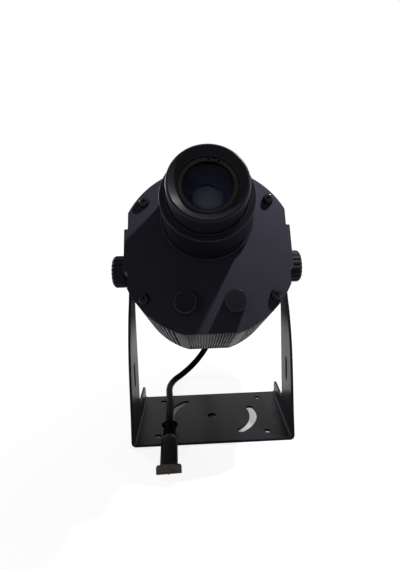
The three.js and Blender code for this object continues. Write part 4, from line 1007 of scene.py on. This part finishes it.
def make_lens():
    base = lens_part("lens_guide", [
        (GUIDE_IN, -SPIGOT),
        (GUIDE_OUT, -SPIGOT),
        (GUIDE_OUT, SEAT, 0.2),
        (FLANGE, SEAT, 0.2),
        (FLANGE, FLANGE_TOP, 0.9),
        (GUIDE_OUT + 0.1, FLANGE_TOP, 0.1),
        (GUIDE_OUT, GUIDE_END, 0.4),
        (GUIDE_IN, GUIDE_END, 0.4),
    ])
    stand_for(base, "head", "anodised_aluminium", "lens_base_tube")
    radius, end, bore = FOCUS["radius"], FOCUS["end"], FOCUS["bore"]
    rim, rise = FOCUS["rim"], FOCUS["rim_height"]
    ring = lens_part("focus_collar", [
        (bore, FLANGE_TOP + SEAT, 0.2),
        (radius, FLANGE_TOP + SEAT, 0.7),
        (radius, end, 0.9),
        (rim, end, 0.15),
        (rim, end + rise, 0.3),
        (rim - rise, end + rise, 0.3),
        (GUIDE_IN, end - rise, 0.3),
        (GUIDE_IN, GUIDE_END + SEAT),
        (bore, GUIDE_END + SEAT),
    ])
    stand_for(ring, "focus", "anodised_aluminium", "focus_ring")
    radius, front = BARREL["radius"], BARREL["front"]
    seat, rear_seat = FRONT_LENS["radius"] + SEAT, REAR_LENS["radius"] + SEAT
    rear_bore, throat = radius - BARREL["wall"], FRONT_LENS["radius"] - SHOULDER
    ring_front, neck = REAR_LENS_REAR - SEAT, REAR_LENS_FRONT + SEAT
    ring_rear = ring_front - REAR_RING["thick"]
    barrel = lens_part("sliding_barrel", [
        (rear_bore, BARREL["rear"], 0.3),
        (radius, BARREL["rear"], 0.4),
        (radius, front - 2.8, 0.5),
        (radius - 0.7, front - 0.9, 0.5),
        (radius - 2.1, front, 0.4),
        (BARREL["mouth"], CLIP_SEAT, 0.3),
        (seat, CLIP_SEAT),
        (seat, LENS_REAR - SEAT),
        (throat, LENS_REAR - SEAT, 0.2),
        (throat, LENS_REAR - SEAT - SHOULDER),
        (THROAT, neck + SHOULDER),
        (THROAT, neck, 0.2),
        (rear_seat, neck),
        (rear_seat, ring_rear - SHOULDER),
        (rear_bore, ring_rear - SHOULDER, 0.3),
    ])
    settle(barrel)
    stand_for(barrel, "barrel", "anodised_aluminium", "lens_barrel")
    profile = lens_profile(FRONT_LENS, LENS_REAR, LENS_FRONT)
    glass = turned("objective_glass", profile, LENS, "coated_glass")
    stand_for(glass, "barrel", "coated_glass", "front_lens")
    profile = lens_profile(REAR_LENS, REAR_LENS_REAR, REAR_LENS_FRONT)
    inner = turned("inner_glass", profile, LENS, "frosted_glass")
    stand_for(inner, "barrel", "coated_glass", "rear_lens")
    profile = band(REAR_RING["bore"], REAR_LENS["radius"], ring_rear, ring_front, 0)
    keeper = turned("inner_glass_ring", profile, LENS, "black_steel")
    stand_for(keeper, "barrel", "black_steel", "rear_lens_ring")
    make_snap_ring()


def make_snap_ring():
    """An open spring ring with rounded ends and an eye near each of them."""
    outer, inner = FRONT_LENS["radius"], CLIP["inner"]
    middle, opening = (outer + inner) / 2, 90 - CLIP["gap_angle"]
    half_gap = math.degrees(CLIP["gap"] / 2 / middle)
    first, last = opening + half_gap, opening - half_gap + 360
    loops = [ring_slot(middle, outer - inner, first, last, 120, 8)]
    for angle in (first + CLIP_EYE_SET, last - CLIP_EYE_SET):
        loops.append(circle(CLIP_EYE, *polar(middle, math.radians(angle)), 20))
    ring = plate("snap_ring", loops, CLIP_REAR, CLIP_FRONT, 0.7, LENS, "black_steel", 6)
    stand_for(ring, "barrel", "black_steel", "front_lens_clip")


make_lens()


# Control knobs on the front plate

CONTROL = {"radius": 10.3, "height": 10.4, "stand": 0.6, "recess": 7.4, "recess_depth": 3.2}


def make_control(side, sign):
    place = HEAD @ Matrix.Translation(Vector((sign * CONTROL_X, CONTROL_Y, PLATE_FRONT)) * MM)
    low, radius, recess = CONTROL["stand"], CONTROL["radius"], CONTROL["recess"]
    top, floor = low + CONTROL["height"], low + CONTROL["recess_depth"]
    profile = [(0, floor), (recess, floor, 0.4), (recess, low, 0.2), (radius, low, 0.3),
               (radius, top, 1.4), (0, top)]
    # The dial's rounded rim takes the glossier edge finish, whose lighter colour is a painted highlight
    knob = turned(f"dial_{side}", profile, place, "black_plastic", steps=8, edge="glossy_edge_painted_highlight")
    stand_for(knob, f"control_{side}", "black_plastic", f"control_knob_{side}")


for side, sign in SIDES:
    make_control(side, sign)


# Cable gland with its tapered relief, z rearward from the cover

GLAND = HEAD @ Matrix.Translation((0, GLAND_Y * MM, COVER_REAR * MM)) @ Matrix.Rotation(math.pi, 4, "X")


# The nut over the hexagon, and the ribbed boot that narrows towards the lead
NUT = {"hex": 11, "bore": 5.9, "radius": 9.6, "nose": 6.6, "slope": 3,
       "flutes": 12, "flute": 0.5, "flute_in": 9.2}
BOOT = {"inside": 8, "bore": 5.6, "radius": 7, "collar": 2.4, "ribs": 6, "first": 2.8, "last": 0.2,
        "rib": 6.7, "taper": 1.5, "deep": 0.9, "end": 5}


def make_gland():
    nut_start = SEAT + GLAND_HEX + SEAT
    nut_end = nut_start + GLAND_NUT
    hexagon = rounded([(*corner, 0.6) for corner in circle(NUT["hex"], count=6)])
    flats = filled("gland_hex", [hexagon], SEAT, SEAT + GLAND_HEX, 0.5, 3)
    body = link("gland_base", flats, GLAND, "black_plastic")
    stand_for(body, "head", "black_plastic", "gland_body")
    nose = NUT["nose"]
    dome = [(nose + NUT["slope"] * x, nut_end - nose + nose * y) for x, y in arc(0, 0, 1, 0, 90, 8)]
    nut = turned(
        "gland_dome",
        [(NUT["bore"], nut_start), (NUT["radius"], nut_start, 0.5), *dome, (NUT["bore"], nut_end, 0.2)],
        GLAND, "black_plastic", 144, wave=(NUT["flutes"], NUT["flute"], NUT["flute_in"]),
    )
    stand_for(nut, "head", "black_plastic", "gland_nut")
    start, radius, deep = nut_end + SEAT, BOOT["radius"], BOOT["deep"]
    inside, end = start - BOOT["inside"], start + GLAND_BOOT
    profile = [(0, inside), (BOOT["bore"], inside), (BOOT["bore"], start), (radius, start, 0.4),
               (radius, start + BOOT["collar"], 0.5)]
    pitch = (GLAND_BOOT - BOOT["first"] - BOOT["last"]) / BOOT["ribs"]
    for i in range(BOOT["ribs"]):
        low = start + BOOT["first"] + i * pitch
        outer = BOOT["rib"] - BOOT["taper"] * i / (BOOT["ribs"] - 1)
        profile += [(outer - deep, low, 0.2), (outer - deep, low + deep, 0.2), (outer, low + deep, 0.4),
                    (outer - 0.2, low + pitch, 0.4)]
    profile[-1] = (BOOT["end"], end, 0.4)
    profile.append((0, end))
    boot = turned("gland_relief", profile, GLAND, "black_rubber", 48)
    stand_for(boot, "head", "black_rubber", "gland_boot")


make_gland()


# Finishes of the CAD nodes that stay

slots = {row["node"]: row["material_slot"] for row in frame["record"]["subparts"]}
for name, obj in nodes.items():
    obj.data.materials.clear()
    obj.data.materials.append(materials[slots[name]])


# Floor, world and light

# Each lamp: where it comes from, its distance and radius in metres, and its light on the front plate
LAMPS = {
    "key": ((0.516, 0.02, 0.857), 0.36, 0.008, 3.4),
    "fill": ((-0.597, -0.776, 0.168), 0.6, 0.01, 0.1),
    "rear": ((-0.68, 0.7, 0.2), 0.7, 0.12, 0.5),
}
AMBIENT = 0.04
FLOOR_SIZE = 8
FLOOR_BARE, FLOOR_BOUNCE = 0.45, 0.5
FLOOR_ROUGH, FLOOR_SHINE = 0.9, 0.1
# Strength of the white glow added to the floor's own light, by distance in metres from a line that lies
# FOOT_INSIDE within the yoke's footprint
FOOT_INSIDE = 0.05
FLOOR_GLOW = ((0.0, 0.0), (0.044, 0.0), (0.05, 0.9), (0.25, 0.93), (0.7, 1.0))
# Painted light on the floor under the yoke's left and right sides: the glow there, and how far out in
# metres these begin and are full
UNDER_YOKE_PAINTED_LIGHT = ((-1, 0.08), (1, 0.4))
UNDER_FROM, UNDER_TO = 0.02, 0.04


def seen_directly(tree):
    """1 where the camera, a reflection or a view through glass meets the surface."""
    rays = node(tree, "ShaderNodeLightPath").outputs
    both = maths(tree, "MAXIMUM", rays["Is Camera Ray"], rays["Is Glossy Ray"])
    return maths(tree, "MAXIMUM", both, rays["Is Transmission Ray"])


def make_world():
    world = bpy.data.worlds.new("studio")
    world.use_nodes = True
    bpy.context.scene.world = world
    tree = world.node_tree
    strength = spread(tree, seen_directly(tree), AMBIENT, 1, 0, 1)
    set_up(tree.nodes["Background"], Color=(1, 1, 1, 1), Strength=strength)


def floor_glow(tree):
    """Strength of the floor's glow, by the distance outside the yoke's footprint, with painted light added
    under the yoke's sides.
    """
    where = node(tree, "ShaderNodeTexCoord").outputs["Object"]
    apart = node(tree, "ShaderNodeSeparateXYZ", Vector=where).outputs
    beyond = []
    for axis, middle, half in (("X", 0, YOKE_WIDTH / 2 * MM), ("Y", BASE_Y, YOKE_DEPTH / 2 * MM)):
        aside = maths(tree, "ABSOLUTE", maths(tree, "SUBTRACT", apart[axis], middle))
        beyond.append(maths(tree, "SUBTRACT", aside, half))
    reach = FLOOR_GLOW[-1][0]
    along = spread(tree, maths(tree, "MAXIMUM", *beyond), 0, 1, -FOOT_INSIDE, reach - FOOT_INSIDE)
    ramp = node(tree, "ShaderNodeValToRGB", Fac=along)
    stops = ramp.color_ramp.elements
    while len(stops) < len(FLOOR_GLOW):
        stops.new(0.5)
    for stop, (distance, glow) in zip(stops, FLOOR_GLOW):
        stop.position = distance / reach
        stop.color = (glow, glow, glow, 1)
    most = ramp.outputs["Color"]
    # Painted light on the floor under the yoke's sides, seen through its slots
    for sign, level in UNDER_YOKE_PAINTED_LIGHT:
        under = spread(tree, apart["X"], 0, level, sign * UNDER_FROM, sign * UNDER_TO)
        most = maths(tree, "MAXIMUM", under, most)
    return most


def make_floor():
    bm = bmesh.new()
    bmesh.ops.create_grid(bm, x_segments=1, y_segments=1, size=FLOOR_SIZE / 2)
    mesh = mesh_from(bm, "floor")
    floor = add_object("floor", mesh)
    material, tree, shader = new_material("floor")
    seen = seen_directly(tree)
    tint = blend_colours(tree, seen, (FLOOR_BOUNCE,) * 3, (FLOOR_BARE,) * 3)
    set_up(shader, Base_Color=tint, Roughness=FLOOR_ROUGH, Specular_IOR_Level=FLOOR_SHINE)
    glow = node(tree, "ShaderNodeEmission", Strength=maths(tree, "MULTIPLY", seen, floor_glow(tree)))
    both = node(tree, "ShaderNodeAddShader")
    give(both.inputs[0], shader.outputs[0])
    give(both.inputs[1], glow.outputs[0])
    give(tree.nodes["Material Output"].inputs["Surface"], both.outputs[0])
    mesh.materials.append(material)


def make_lamp(name, source, distance, radius, level):
    """A round lamp aimed at the middle of the front plate, with that level of light there."""
    source = Vector(source).normalized()
    data = bpy.data.lights.new(name, "AREA")
    data.shape = "DISK"
    data.size = 2 * radius
    data.energy = level * math.pi * distance**2
    lamp = add_object(name, data)
    lamp.rotation_mode = "QUATERNION"
    lamp.rotation_quaternion = source.to_track_quat("Z", "Y")
    lamp.location = HEAD @ Vector((0, 0, PLATE_FRONT * MM)) + source * distance


make_world()
make_floor()
for name, values in LAMPS.items():
    make_lamp(name, *values)
bpy.context.scene.view_settings.view_transform = "Standard"
